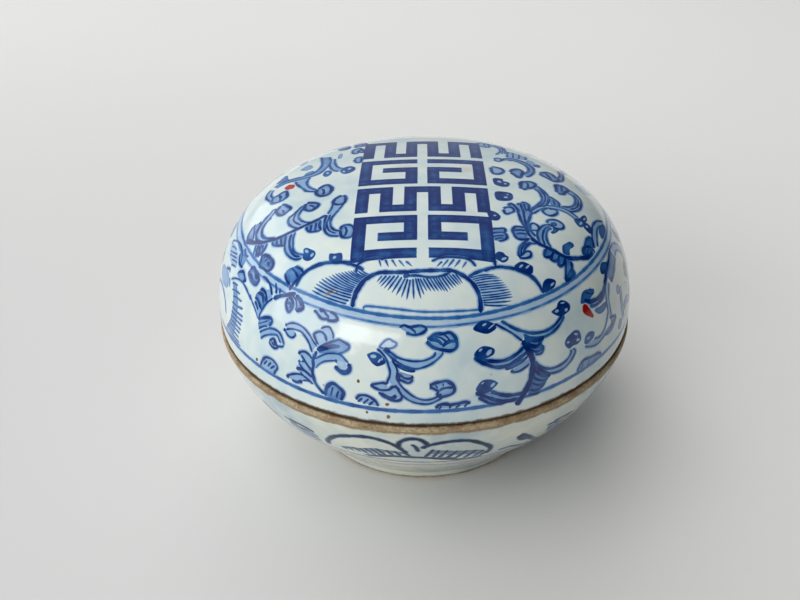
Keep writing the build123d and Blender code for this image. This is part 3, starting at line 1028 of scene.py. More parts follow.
side.lines(0.55, [(4.5, 12.6), (4.5, 11.6)], [(5.3, 12.9), (6.4, 11.8)], [(2.6, 12.2), (3.4, 11.2)])
side.nub(
    [(-15.6, 6.6), (-14.7, 8), (-13.1, 8.3), (-11.8, 7.8), (-10.7, 6.8), (-10.3, 5.6)],
    [[(-15.2, 6.1), (-13.9, 7.5)], [(-13.9, 5.8), (-12.4, 7.6)], [(-12.6, 5.6), (-11.3, 7)]], 0.8)
side.nub(
    [(-5.9, 25.7), (-4.7, 26.3), (-3.4, 25.9), (-2.1, 26.1), (-0.5, 26.3), (0.8, 25.7), (0.5, 25.1),
     (-0.2, 24.6), (-1.5, 24.2), (-2.8, 24.2), (-4.2, 24.7)], [[(-3.4, 25.9), (-2.1, 25), (-1.7, 24.3)]],
    0.8, 0.4)
side.nub(
    [(2.8, 5.6), (3.5, 6.7), (5.1, 6.9), (6.1, 6.6), (7.7, 6.8), (9.8, 7), (10.6, 6.2)],
    [[(3.4, 5.4), (4.2, 6.5)], [(5.8, 5.5), (6.4, 6.6)], [(7.2, 5.6), (8.5, 6.6)],
     [(9.3, 5.5), (9.9, 6.6)]], 1.0)

side.blot(
    [(12.2, 24.6), (12.8, 25.6), (14.4, 26.5), (16.2, 26.3), (17.6, 25.6), (18.4, 24.9), (18.4, 24.1),
     (17.1, 23.4), (15.6, 23.1), (13.8, 23.7)], (15.3, 25.4, 1.3, 0.6, 15), (17, 24.7, 2.2, 0.4, 25))
side.lines(0.65, [(17.9, 25.3), (19.7, 24), (21.8, 22.4), (23.2, 21), (24.4, 19.7)])
side.branch(
    [(19.7, 25.6), (21.2, 24.4), (23.2, 22.9), (25.3, 21.8), (27.4, 20.9), (30, 20.4), (32.4, 20.4),
     (34.4, 20.9), (36.2, 21.8), (37.2, 22.6)],
    [(24.9, 21.2), (26.5, 20.1), (28.5, 19.4), (30.6, 19.1), (32.9, 19.4), (35, 20.1), (36.8, 21.2),
     (37.9, 22.2)], 0.38, 0.9)
side.strip([(17.9, 25.3), (21.8, 22.4), (24.4, 19.9)], [(19.7, 25.6), (23.2, 22.9), (25.8, 21.4)], 0.28)
side.washes(
    0.62,
    [(24.8, 21), (26.5, 19.6), (29, 18.8), (30.2, 19), (29.7, 17.4), (29.6, 16.3), (28.4, 15.5),
     (27, 15.7), (25.8, 17.6)],
    [(26.4, 13.6), (28.4, 11.2), (31.6, 9.2), (30.4, 7.8), (29.4, 6.2), (27.4, 4.9), (24.8, 5.2),
     (25.4, 8.4), (26.2, 11)])
side.lines(
    1.15, [(25, 20.5), (26.8, 19.2), (28.8, 18.8), (30.5, 19.1)],
    [(25.3, 19.3), (26.5, 18), (28.2, 17.5), (29.7, 18.6)],
    [(26.5, 14), (27.6, 12.2), (29.4, 10.3), (31.2, 9)],
    [(26.4, 12.2), (27.9, 10.3), (29.4, 9.3), (31.2, 8.9)])
side.lines(
    0.7, [(26, 17.4), (27.6, 16.2), (29.1, 16.3), (29.6, 17.6)],
    [(27.1, 15.6), (28.8, 15.4), (29.7, 16.2), (29.7, 17.4)])
side.lines(
    0.95, [(26.2, 10), (27.6, 8.8), (29.1, 8.1), (30.4, 8.2)],
    [(25.9, 8.5), (27.4, 7.4), (28.8, 7.1), (29.6, 7.5)],
    [(25.3, 6.8), (26.8, 6), (28.2, 6.2), (29.3, 6.8)], [(25, 5.6), (26.5, 5), (28.2, 5.1)])
side.lines(
    1.7,
    [(24.4, 19.9), (25.3, 17.9), (26, 16.2), (26.4, 14.4), (26.3, 12.4), (25.9, 10.6), (25.3, 8.8),
     (24.4, 7.1), (23.5, 5.6), (22.6, 4.2), (21.8, 3.2)], load=1.15)
side.blot(
    [(11.8, 18.8), (12.8, 20), (14.4, 20.6), (16.2, 20.1), (17.2, 19.3), (16.9, 18.2), (15.6, 17.6),
     (13.6, 17.2), (12.2, 17.9)], (15.6, 18.8, 2, 1.1, 30), (13.6, 19.7, 1.2, 0.6, 40))
side.lines(
    1.05,
    [(11.8, 18.2), (13.2, 17), (15, 15.9), (16.8, 15), (18.8, 14.7), (20.6, 15), (22.6, 15.7),
     (24.7, 16.6), (25.6, 17.1)],
    [(12.8, 17.9), (14.4, 17.1), (16.5, 16.5), (18.5, 16.2), (20.3, 16.3), (22.1, 16.9), (23.5, 17.6),
     (24.7, 18.5)])
side.strip(
    [(12.4, 18), (15, 16.6), (18.6, 15.9), (22.1, 16.6), (24.9, 18)],
    [(13, 17.3), (16.8, 15.2), (20.6, 15.1), (22.8, 15.8), (25.6, 17.1)], 0.42)
side.washes(
    0.9,
    [(18.9, 14), (20, 15), (22.4, 15.3), (24.2, 15.6), (25.6, 16.2), (25.2, 15.2), (23.4, 14.3),
     (21.4, 13.7), (19.6, 13.5)])
side.washes(0.4, [(20.4, 13.3), (22, 13.8), (25.4, 15), (25.6, 13.9), (23.6, 13), (21, 12.7)])
side.lines(0.7, [(20.6, 12.9), (22.4, 12.6), (24.1, 13.1), (25.6, 13.8)])
side.lines(1.2, [(20.5, 13.3), (21.2, 12.9)])
side.blot(
    [(11.9, 9.7), (12.2, 10.9), (13.2, 12.1), (14.4, 12.4), (15.9, 12.1), (17.2, 11.2), (17.4, 10.6),
     (16.3, 9.6), (15.4, 8.8), (13.6, 8.4)], (16, 10.6, 1.8, 0.8, 38), (13.6, 11.5, 0.9, 0.5, 30))
side.washes(
    0.5,
    [(11.9, 9.6), (14.8, 8.9), (17.4, 7.8), (20, 6.8), (23.6, 6.6), (23.2, 5), (19.4, 4.8), (15.4, 5.6),
     (12.7, 7.8)])
side.lines(
    1.2, [(15.4, 9), (17.4, 7.8), (19.4, 6.9), (21.5, 6.5), (23.8, 6.4)],
    [(11.9, 9.4), (13.5, 8.2), (15.3, 7.1), (17.4, 5.9), (20, 5.2), (22.4, 5.1)])
side.lines(0.95, [(12.5, 7.9), (13.8, 6.8), (15.3, 5.6), (17.1, 5), (19.7, 4.9)])
side.branch(
    [(26.8, 14.1), (28.2, 12.4), (30, 11), (32.1, 10.4), (34.4, 10.4), (36.2, 10.9), (37.5, 11.8),
     (37.9, 12.6), (37.6, 13.2)],
    [(29.4, 9.7), (31.2, 9.3), (33.2, 8.9), (35.3, 9.1), (37.1, 9.9), (38.5, 11), (39.3, 12.2),
     (38.4, 13.2)], 0.38, 0.8)
side.blot(
    [(36, 15.3), (36.8, 16.5), (38.2, 17.1), (40, 17.5), (41.5, 16.9), (42, 15.6), (41.8, 14.1),
     (40.3, 13.5), (38.8, 13.7), (37.4, 13.4), (36.5, 14.1)], (37.3, 15.3, 1.1, 0.7, 0),
    (40.2, 16.3, 1.5, 0.6, -20), (40.6, 14.6, 1.4, 0.9, 0))
side.blot(
    [(34.1, 24), (34.7, 24.4), (36.2, 24.7), (37.1, 25.6), (38.5, 25.9), (40, 25.1), (40.9, 23.8),
     (40.3, 22.6), (38.8, 22.2), (37.1, 22), (35.6, 22.6)], (36, 23.8, 1.5, 0.8, -10),
    (39, 23.1, 1.4, 0.8, 0), (38.6, 25, 1.6, 0.5, -10))

side.washes(
    0.75,
    [(44.4, 22.5), (45.2, 23.9), (46.6, 24.9), (48.6, 24.9), (50.2, 24.3), (51.6, 23.8), (51.1, 22.8),
     (49.9, 22.5), (47, 22)])
side.lines(0.6, [(47.6, 24.4), (49.4, 23.2), (51, 23.1)], [(49.4, 24.5), (50.6, 23.7)])
side.lines(
    1.3,
    [(46.1, 23), (48, 21.7), (49.9, 21.2), (51.9, 20.9), (54.1, 21.2), (56.1, 21.9), (58, 23.1),
     (59.9, 24)])
side.lines(0.9, [(47.4, 20.8), (49.1, 20.1), (51.3, 19.9), (53.6, 20.1), (55.2, 20.7), (56.9, 21.9)])
side.washes(
    0.75,
    [(48.6, 18.9), (49.7, 19.2), (51.3, 18.9), (53.6, 18.9), (54.9, 18.6), (54.7, 17.5), (53, 16.9),
     (51.3, 16.9), (49.9, 17.4)])
side.branch(
    [(58, 23.1), (56.6, 21.7), (55.8, 20.3), (54.9, 18.3), (54.7, 16.7), (54.4, 15)],
    [(59.4, 21.9), (57.7, 20.3), (56.6, 18.9), (56.1, 17.2), (55.9, 15.3), (55.8, 13.3), (55.5, 11.1)],
    0.3, 0.7)
side.washes(
    0.9,
    [(57.4, 25.3), (58, 26.4), (59.7, 27.2), (61.3, 27.1), (62.7, 26.4), (64.4, 25.8), (63, 25),
     (60.4, 24.6), (58.4, 24.6)])
side.lines(
    1.0, [(58.6, 24.2), (60.8, 24.4), (63, 25.3), (66, 26.1), (70, 27)],
    [(60.2, 21.6), (62.4, 21.9), (64.4, 22.5), (66, 23.1), (70, 24.4)])
side.strip(
    [(59, 24), (63, 25), (66, 26), (69.6, 26.8)], [(60.2, 21.8), (64.4, 22.6), (66, 23.2), (70, 24.5)],
    0.5)
side.blot(
    [(42.6, 12.5), (42.9, 13.9), (43.8, 14.7), (45.2, 14.9), (46.6, 14.4), (47.2, 13.6), (46.6, 12.6),
     (45.5, 12.2), (44, 11.9)], (44.4, 13.4, 1.4, 0.7, 0), dark=0.8)
side.branch(
    [(46.6, 12.2), (48, 11.7), (49.9, 11.7), (51.9, 12.8), (53.3, 14.2), (54.4, 15.8)],
    [(42.7, 11.9), (44.1, 11.1), (46.1, 10.4), (48, 10.1), (49.9, 10.4), (51.9, 11.1)], 0.4, 0.75)
side.washes(
    0.6,
    [(50.8, 10.8), (52.4, 11.7), (54.7, 12.2), (57.4, 12.8), (59.1, 12.2), (58, 11.1), (55.8, 10),
     (53.8, 9.7), (52.2, 10)])
side.lines(0.7, [(51.6, 10.6), (54, 11), (56.6, 11.6)], [(54.6, 14), (56.6, 13.4), (58.8, 12.4)])
side.washes(
    0.5, [(61.6, 17.4), (62.2, 18.8), (63.6, 19.2), (64.6, 18.2), (64, 16.8), (62.6, 16.6)],
    [(59.2, 8.2), (60.6, 10.2), (62.4, 9.6), (62.6, 7.8), (60.8, 7)])
side.branch(
    [(64.6, 18), (63.6, 16), (63, 13.6), (63, 11), (63.6, 8.4)],
    [(65.8, 17.6), (64.8, 15.6), (64.2, 13.4), (64.2, 11), (64.8, 8.6)], 0.3, 0.6)
side.nub(
    [(39.7, 5.8), (40.8, 7.5), (42.2, 8.2), (44.4, 7.8), (46.3, 7.5), (48.3, 7.1), (49.7, 6)],
    [[(41.2, 5.8), (42, 7.6)], [(43.4, 5.6), (44.6, 7.3)], [(46.2, 5.8), (47.2, 7)]], 0.9, 0.5)
side.branch(
    [(70, 27), (74, 26.4), (77, 24.4), (78.4, 21.4), (77.6, 18.6)],
    [(70, 24.5), (73.6, 24.4), (75.8, 22.8), (76.6, 21), (76, 19)], 0.34, 0.7)
side.blot(
    [(77, 19), (75, 20), (72.6, 19.2), (71.6, 17.4), (73, 15.8), (75.4, 16), (77, 17.4)],
    (73.6, 18, 1.6, 1, 20), (75.4, 17.2, 1.2, 0.8, 0))
side.branch(
    [(64.4, 12), (67.4, 12.6), (70.4, 11.8), (72.4, 9.6)],
    [(64.6, 10.4), (67.4, 11.2), (69.8, 10.6), (71.2, 9.2)], 0.34, 0.65)
side.blot(
    [(71.4, 9.4), (72.6, 12), (75, 12.8), (76.6, 11.4), (76, 9.2), (73.8, 8.2)], (74.6, 11.2, 1.6, 1, 30),
    (73.4, 9.8, 1.2, 0.7, 0))
side.nub(
    [(79, 5.4), (80, 7.8), (82, 8.6), (84, 7.6), (85, 5.4)],
    [[(80.8, 5.6), (81.4, 7.8)], [(82.8, 5.6), (83, 7.4)]], 0.8)

side.branch(
    [(83.4, 24.6), (86.6, 22.4), (88.8, 19), (89.4, 15), (88.4, 11), (86, 7.6), (83.6, 5.8)],
    [(82.4, 23.2), (85, 21.2), (87, 18.4), (87.6, 15), (86.8, 11.4), (85, 8.6), (83, 7)], 0.4, 0.8)
side.blot(
    [(83.4, 24.4), (83.2, 26.4), (81.2, 27), (79.6, 25.4), (80.4, 23.4), (82.2, 22.8)],
    (81.4, 25.2, 1.6, 1, 30))
side.branch(
    [(88.8, 18), (91.4, 20), (94.4, 20.6), (97, 19.4)],
    [(88.8, 16), (91.6, 18.2), (94.2, 18.8), (95.8, 18)], 0.36, 0.75)
side.blot(
    [(96.6, 19.6), (98.6, 20.2), (99.8, 18.6), (99, 16.6), (97, 16.2), (95.6, 17.6)],
    (97.8, 18.4, 1.4, 0.8, 0))
side.branch(
    [(88.2, 10.6), (91, 11.8), (94, 11.4), (96, 9.6)], [(87.4, 9), (91, 10.2), (93.2, 9.8), (94.6, 8.6)],
    0.36, 0.75)
side.blot(
    [(95, 9.8), (96.8, 10.4), (98, 9), (97.2, 7.2), (95.2, 7), (94.2, 8.4)], (96.2, 8.8, 1.2, 0.8, 0))
side.washes(
    0.5, [(87, 17.4), (84.6, 18.2), (82.4, 17.2), (84.6, 15.8), (82.6, 14.2), (84.8, 12.8), (87, 13)],
    [(88.6, 22.6), (90, 25.6), (93, 26.4), (95.6, 24.4), (92.4, 23), (90, 21.6)])
side.lines(
    0.8, [(87, 17.6), (84.6, 18.3), (82.4, 17.2), (84.8, 15.9), (87, 15.4)],
    [(87.4, 15), (84.6, 15.4), (82.6, 14.1), (84.8, 12.7), (87, 12.8)],
    [(88.4, 21.2), (88.8, 23.4), (90.4, 25.8), (93, 26.5), (95.7, 24.4), (92.4, 22.9), (90, 21.4)],
    [(90, 23), (92, 24.6), (94, 24.8)])
side.nub([(91, 5.4), (91.6, 7.4), (93.4, 6.8), (94, 5.4)], [[(92.4, 5.6), (92.6, 7)]], 0.8)
side.lines(
    0.7,
    [(-79, 25.4), (-77, 26.6), (-75, 27.6), (-72, 28.4), (-69, 28.5), (-66.5, 28), (-64.6, 27),
     (-63.4, 25.8), (-63, 25)])
side.lines(
    0.55, [(-76.2, 25), (-74, 26), (-71, 26.6)], [(-75.4, 24), (-72, 25.2), (-68.6, 26.4)],
    [(-74.4, 23.4), (-71, 24.6), (-67.6, 25.6)], [(-71, 23.6), (-68, 24.6), (-66, 25)],
    [(-69.4, 22.8), (-67, 23.6), (-65.2, 24)], [(-79, 25.4), (-77, 25.2)])
side.washes(0.3, [(-78.6, 25.3), (-73, 27), (-67, 26.2), (-65, 24.2), (-69.6, 22.8), (-75.6, 23.6)])
side.washes(
    0.42,
    [(-78, 17.4), (-76, 19.4), (-72, 20.4), (-68, 20.6), (-65.4, 18.6), (-66.4, 16.8), (-70.6, 15.8),
     (-75.4, 16)])
side.lines(0.8, [(-72, 20.4), (-70.2, 21), (-68.8, 21.6), (-67.6, 21)])
side.lines(
    0.6,
    [(-65.2, 20.4), (-63.6, 21.4), (-62, 22.2), (-59.6, 22.9), (-57.4, 23), (-55, 22.6), (-53, 21.9),
     (-51, 21.1)], [(-66.6, 20.2), (-65.2, 19.2), (-64.4, 18.2)])
side.lines(
    0.9, [(-62.8, 23.4), (-61.4, 24.6), (-59.8, 25.2), (-58.2, 24.6), (-56.4, 23.8)],
    [(-58.2, 23.4), (-57.2, 23.8), (-56.4, 23.8)])
side.washes(0.5, [(-63, 23.2), (-61.2, 24.6), (-59.6, 25), (-57, 23.8), (-59.8, 23)])
side.lines(
    0.55, [(-63.6, 20.2), (-61.8, 20.8), (-59.6, 21.2)], [(-62.4, 18.8), (-60, 19.6), (-57, 20)],
    [(-60.8, 17.6), (-58.4, 18.4), (-55, 18.8)], [(-60.4, 16.2), (-57, 16.6), (-53.6, 17.4)],
    [(-59.8, 15), (-56, 15.2), (-52.8, 15.5)], [(-59.8, 13.8), (-56, 14), (-52.6, 14.3)],
    [(-59.8, 12.6), (-56, 12.9), (-53, 13)], [(-60, 11.4), (-56.6, 11.6), (-53, 11.6)],
    [(-60.8, 10.2), (-57, 10.4), (-53.4, 10.4)], [(-61.6, 9), (-57.4, 9), (-54, 8.8)],
    [(-62.6, 8), (-58, 7.6), (-53.6, 7.4)], [(-63.6, 6.6), (-58, 6.6), (-53, 6.6)])
side.strip(
    [(-63.8, 20.6), (-61.4, 18.6), (-60, 16), (-59.8, 13), (-60.8, 10), (-63.4, 7)],
    [(-60.4, 21.4), (-57.4, 18.8), (-56, 16), (-55.6, 13), (-56, 10), (-57, 6.8)], 0.5)
side.lines(0.7, [(-82, 6), (-80.6, 10), (-78, 13), (-74, 14.8), (-69, 15), (-65.4, 13.4), (-63.4, 10.6)])
side.nub(
    [(-57.6, 27.4), (-56.6, 28.2), (-55, 28), (-53.4, 27.2), (-51.8, 27), (-51.2, 26.2), (-52.6, 25.5),
     (-54.4, 25.8), (-56.4, 26.4)], [[(-54.8, 27.6), (-53.4, 26.7), (-52.2, 26.4)]], 1.0, 0.35)

side.lines(
    0.85,
    [(-69.7, 40), (-69.2, 38.3), (-68, 36.8), (-66.3, 35.8), (-64.3, 35.3), (-62, 35.3), (-60.3, 36),
     (-58.7, 36.8), (-57, 37.6)],
    [(-73, 40), (-72, 38.3), (-70.7, 37), (-69.7, 35.7), (-68, 34.3), (-66, 33.7), (-63.7, 33.3),
     (-61.7, 34), (-60.3, 34.8)],
    [(-72.3, 33.7), (-71, 32.3), (-69.3, 31.2), (-67.7, 30.8), (-65.3, 31.8), (-63.3, 32.8),
     (-60.7, 34.5)], [(-60.7, 34), (-59, 32.3), (-57.3, 30.7)],
    [(-61.7, 33.3), (-60, 31.7), (-58.7, 30.3)], [(-62.7, 32.8), (-61.3, 31.3), (-60.3, 30.2)])
side.strip(
    [(-69.7, 40), (-68, 36.8), (-64.3, 35.3), (-60.3, 36)],
    [(-73, 40), (-69.7, 35.7), (-64, 33.4), (-60.3, 34.8)], 0.36)
side.washes(0.45, [(-60.7, 34.2), (-57.3, 30.8), (-60.2, 30.3), (-63.4, 32.4)])
side.nub(
    [(-54.8, 30.3), (-56, 32.2), (-53, 32.8), (-49.7, 32.2), (-49.4, 30.7)],
    [[(-53.6, 31), (-53, 32.4)], [(-51.6, 30.9), (-51, 32.4)]], 0.9, 0.6)
side.nub(
    [(56, 30.2), (56.4, 32), (58.4, 33), (60.6, 32.2), (61, 30.2)],
    [[(57.6, 30.6), (58, 32.4)], [(59.4, 30.6), (59.6, 32.2)]], 0.9, 0.5)
side.branch(
    [(62, 31), (66, 33.4), (71, 34.4), (76, 33.6), (80, 31.2)],
    [(64, 30.6), (67.6, 32), (71.6, 32.8), (75.4, 32), (78.2, 30.4)], 0.36, 0.8)
side.blot([(66, 34), (66.4, 36.6), (68.6, 37.6), (70.4, 36.2), (69.6, 34.4)], (68.2, 35.8, 1.4, 1, 0))
side.finish("lid_side_scrolls", "lid", lid_blue)
bands.finish("lid_bands_and_lotus", "lid", lid_blue)

# Scrolls on the top of the lid, next to the lotus. The back repeats them
low = Brush(on_top, 13, (0.0, 180.0))
low.branch(
    [(-34.9, -24.8), (-34.9, -27.7), (-34.6, -29.8), (-33.8, -31.5), (-32.6, -33), (-31.2, -34),
     (-29.7, -34.2)],
    [(-32.4, -24.8), (-32.8, -26.8), (-32.6, -28.9), (-32.4, -30.6), (-31.5, -32.1), (-30, -33.1),
     (-29.1, -33.6)], 0.4, 0.75)
low.lines(
    0.9, [(-33.4, -25), (-33.7, -27.1), (-33.5, -29.2), (-32.9, -30.9), (-31.8, -32.7), (-30.3, -33.6)])
low.blot(
    [(-29.6, -32.7), (-29.7, -31.7), (-29, -31.4), (-27.6, -32.4), (-26.5, -33.4), (-26.2, -34.5),
     (-26.8, -35.5), (-27.8, -35.8), (-28.8, -35.4), (-29.7, -34.3)], (-28.7, -32.7, 0.9, 1.5, 30),
    (-27.2, -34.3, 1, 1.2, 0), dark=0.82)
low.branch(
    [(-24.7, -19.8), (-25, -21.8), (-25, -24.5), (-24.7, -26.5), (-24.1, -28), (-22.9, -29.2),
     (-20.6, -29.9)],
    [(-21.8, -18), (-22.6, -19.8), (-23.4, -21.8), (-23.5, -23.9), (-23.1, -25.6), (-22.1, -27.1),
     (-20.4, -27.8)], 0.38, 0.85)
low.lines(
    0.7, [(-23.8, -19.8), (-24.1, -21.8), (-24.4, -23.6), (-24.1, -25.6), (-23.2, -27.4), (-21.6, -28.6)])
low.leaf(
    [(-20.6, -27.4), (-20.2, -25.8), (-18.8, -25.4), (-17.4, -26.6), (-17, -28.6), (-17.6, -30.4),
     (-19, -30.8), (-20.2, -29.8)], 0.95, 0.45)
low.lines(0.8, [(-19.6, -26), (-19, -28), (-19.4, -30.2)])
low.blot(
    [(-19.6, -35.8), (-21.5, -35.5), (-22.8, -35.2), (-22.9, -36.8), (-22.4, -37.8), (-21, -38.2),
     (-19.4, -38.4)], (-21.4, -36.7, 1.2, 0.8, 0), dark=0.8)
low.leaf(
    [(-44.6, -28.3), (-43.5, -28.9), (-42.6, -30.1), (-41.8, -31.5), (-41.5, -33.3), (-42.1, -33.6),
     (-43.2, -32.4), (-44.1, -30.9), (-44.6, -29.5)], 0.85, 0.6)
low.leaf(
    [(-40.9, -27.4), (-39.7, -28.3), (-38.5, -29.8), (-37.5, -31.5), (-37.8, -32.7), (-39.1, -32.7),
     (-40.3, -31.2), (-41.5, -29.8), (-41.2, -28.3)], 0.95, 0.5)
low.lines(1.0, [(-40.8, -27.8), (-39.9, -28.6)], [(-39.4, -30.2), (-38.6, -31.8)])
low.lines(
    0.85, [(-42.4, -35.6), (-41.2, -37.1), (-40.3, -39.2)], [(-41.5, -35.5), (-40, -36.8), (-39, -38.9)],
    [(-34, -35.9), (-33.5, -37.7), (-32.4, -39.4)], [(-32.4, -35.6), (-31.2, -37.1), (-30.4, -38.8)],
    [(-31.5, -35.6), (-29.7, -37.1), (-29.1, -38.3)])
low.washes(
    0.55, [(-42.4, -35.6), (-41, -35.4), (-39.4, -37.2), (-39, -38.8), (-40.4, -39)],
    [(-34, -35.8), (-31.4, -35.6), (-29.4, -37.4), (-30.4, -38.8), (-32.4, -39.2)])
low.lines(
    0.9, [(-46.9, -20.4), (-46.6, -22.6), (-45.4, -24.4)], [(-48.6, -20), (-48.4, -23), (-47, -25.6)])
low.washes(0.5, [(-48.6, -20), (-47, -20.2), (-45.6, -24), (-47, -25.4), (-48.4, -23)])
low.branch(
    [(28.4, -30.9), (26.6, -31.5), (25.4, -32.7), (24.7, -34.2), (24.4, -35.4)],
    [(26.2, -30.2), (24.5, -32.1), (23.5, -33.9), (23.2, -35.6), (23.2, -36.5)], 0.4, 0.8)
low.leaf(
    [(23.2, -36.5), (24.5, -36.4), (26, -35.6), (26.4, -34.6), (26, -34), (25.1, -34.4), (24.3, -35.2)],
    0.8, 0.35)
low.lines(0.7, [(26.9, -30.9), (25.1, -32.1), (24.1, -33.9), (23.8, -35.6)])
low.lines(
    1.3,
    [(26.7, -29.4), (28.4, -30.6), (30.1, -31.1), (32.5, -31.5), (34.8, -31.8), (36.6, -31.4),
     (38.4, -30.4), (40.4, -29), (41.9, -27.7), (43.4, -25.4)], load=1.0)
low.washes(
    0.85,
    [(34.8, -31.2), (34.8, -28.9), (36, -27.4), (37.2, -26.2), (38.2, -26.4), (38.1, -27.4),
     (36.9, -28.9), (36.6, -30.8)])
low.lines(0.45, [(35.6, -30.6), (35.9, -28.8), (37, -27.3)], load=0.2)
low.washes(
    0.6, [(30.6, -31.6), (30, -34), (32.4, -34), (33.6, -34.8), (35.2, -32.4), (34, -31.8)],
    [(35.1, -32), (35.1, -35.6), (35, -37.5), (36.3, -36.2), (37.6, -34.6), (36.9, -33.9), (37, -32)])
low.lines(
    1.0, [(30.6, -31.6), (30, -32.8), (29.8, -34.1), (31, -33.8), (31.8, -33)],
    [(32.4, -31.7), (31.8, -33), (31.4, -34.2), (32.6, -34.2), (33.4, -33)],
    [(34, -31.8), (33.4, -33.2), (33.4, -34.9), (34.6, -34), (35.2, -32.4)],
    [(35.2, -32), (35.1, -35.6), (35, -37.4), (36.3, -36.2), (37.5, -34.6), (36.9, -33.9), (36.9, -32)])
low.washes(0.9, [(36.6, -33.8), (37.6, -34.6), (36.3, -36.2), (35.1, -37.4), (35.6, -35.4)])
low.lines(
    0.95,
    [(25.7, -25.9), (23.6, -25.8), (22.6, -27.1), (22.6, -28.9), (23.4, -30.6), (25.4, -30.4),
     (26.6, -29.6)], [(22.8, -27.6), (24.2, -27.2), (25.8, -27)], [(23, -29), (24.6, -28.4), (26, -28.4)])
low.washes(
    0.5,
    [(25.6, -26), (23.6, -25.9), (22.7, -27.4), (22.8, -29.4), (23.6, -30.5), (25.6, -30.2), (26.4, -28)])
low.lines(
    0.85, [(17, -27.9), (19, -27.4), (20.5, -27.2), (20.4, -28.9)],
    [(17, -29.6), (18.8, -29), (20.3, -29), (20.8, -30.6), (19.9, -31.9), (18.4, -32.5)],
    [(17, -31.2), (18.6, -30.4), (20.2, -30.2)], [(17.6, -32), (19, -31.2), (20, -31.4)])
low.washes(0.5, [(16.8, -28), (20.4, -27.3), (20.8, -30.6), (19.8, -31.9), (17.4, -32.4)])
low.blot(
    [(16.8, -38), (18, -36), (19.4, -35.9), (20, -36.6), (20.8, -37), (20.4, -38.2), (19.2, -39),
     (18, -38.6)], (19.5, -37.8, 1.8, 0.7, 30))
low.lines(
    0.85,
    [(14.4, -42), (16, -41.1), (17.8, -40.3), (19.8, -39.9), (21.6, -39.7), (24, -39.9), (26, -40.2),
     (27.2, -40.9), (27.9, -41.6)], [(17.4, -40.4), (17.2, -39.4), (17.4, -38.4)])
low.blot(
    [(21.7, -39.6), (22.8, -38), (24.2, -37.3), (26, -37.6), (26.7, -38), (26.3, -39.8), (24.4, -40.2)],
    (23.6, -38.7, 1.7, 0.5, 50), (25.2, -38.4, 1.7, 0.5, 50))
low.blot(
    [(28.4, -42.4), (28.8, -40.6), (30.1, -39.2), (32.2, -38.7), (32, -40), (31, -41.2), (29.2, -42.6)],
    (31.2, -40, 1.6, 0.5, 50))
low.blot(
    [(16.4, -19.5), (18, -19.6), (19.2, -20.4), (20, -22), (19.6, -23.4), (18.6, -24.2), (17, -23.6)],
    (18.4, -21.8, 1, 0.7, 0))
low.lines(
    1.1,
    [(-30.9, -40.6), (-30, -39), (-28.2, -38.1), (-25.9, -37.7), (-23.5, -37.7), (-20, -38.4),
     (-16.6, -39.2)])
low.lines(
    0.8, [(-15.8, -42), (-15.5, -40), (-13.5, -39), (-11.5, -38.7), (-9, -39.4)],
    [(2, -40.5), (4, -39.4), (7, -38.9), (9.5, -38.9), (11.5, -39.7), (12.6, -41.2)])
low.finish("lid_top_scrolls", "lid", lid_blue)

top = Brush(on_top, 17)
top.lines(
    1.15,
    [(-46.5, -18), (-45, -20.1), (-43.5, -21.7), (-41.8, -23), (-40, -23.9), (-38.2, -24.5),
     (-36.8, -24.7), (-34.7, -24.5), (-32.1, -23.9), (-29.7, -23), (-27.4, -21.8), (-25.6, -20.4),
     (-24.7, -19.8)], load=1.0)
top.branch(
    [(-40.2, -10.9), (-41.2, -13.2), (-42.8, -15.6), (-43.8, -18), (-43.7, -19.8), (-42.9, -21.5),
     (-41.2, -23.3)],
    [(-39.4, -12.4), (-40.2, -13.9), (-41.6, -16.2), (-42.2, -18), (-42.1, -19.8), (-41.5, -21.2),
     (-40.3, -22.7), (-38.8, -23.6)], 0.36, 0.75)
top.branch(
    [(-31.8, -13.2), (-33, -15.6), (-33.9, -17), (-34.9, -18), (-35, -19.5), (-34.4, -21.2),
     (-33.2, -22.7), (-31.8, -23.7)],
    [(-30.8, -13.2), (-31.8, -15.6), (-32.4, -18), (-32.1, -19.5), (-31.2, -20.9), (-29.7, -22),
     (-28.5, -22.1)], 0.36, 0.85)
top.lines(0.75, [(-33.3, -16.4), (-33.5, -18), (-33.5, -19.8), (-32.6, -21.2), (-31.2, -22.7)])
top.branch(
    [(-23.2, -12.1), (-23.6, -14.6), (-23.8, -17), (-24.6, -19.6)],
    [(-20.6, -14.7), (-21.2, -16.4), (-21.8, -18), (-23, -20.6)], 0.36, 0.75)
top.lines(
    0.85, [(-43.7, -23), (-42.9, -25.4), (-42.6, -26.5), (-42.3, -25.6)],
    [(-42.4, -23.6), (-42.1, -25.4), (-42.2, -26.8), (-41.6, -26)],
    [(-41.5, -23.9), (-41.2, -25.4), (-41.6, -27.1), (-40.6, -26), (-40, -24.4)],
    [(-38.7, -24.9), (-38.2, -26.2), (-37.1, -27.1), (-35.9, -27.7), (-34.9, -28.4)],
    [(-37.4, -25.1), (-37.1, -27.1)], [(-36.2, -25.1), (-35.9, -27.6)],
    [(-29.7, -23.6), (-29.4, -25.1), (-28.5, -26.2), (-27.1, -26.5), (-25.6, -26.5)],
    [(-28.4, -23.3), (-28.4, -26.2)], [(-27.2, -22.7), (-27.2, -26.4)],
    [(-26.2, -22.1), (-26.3, -24.2), (-25.6, -26.5)], [(-45.5, -14), (-46.8, -16.5), (-45.9, -19.4)],
    [(-45.3, -14.1), (-44.9, -16.5), (-44.8, -19.8)], [(-43.7, -14), (-43.2, -15.9), (-44.1, -17.9)])
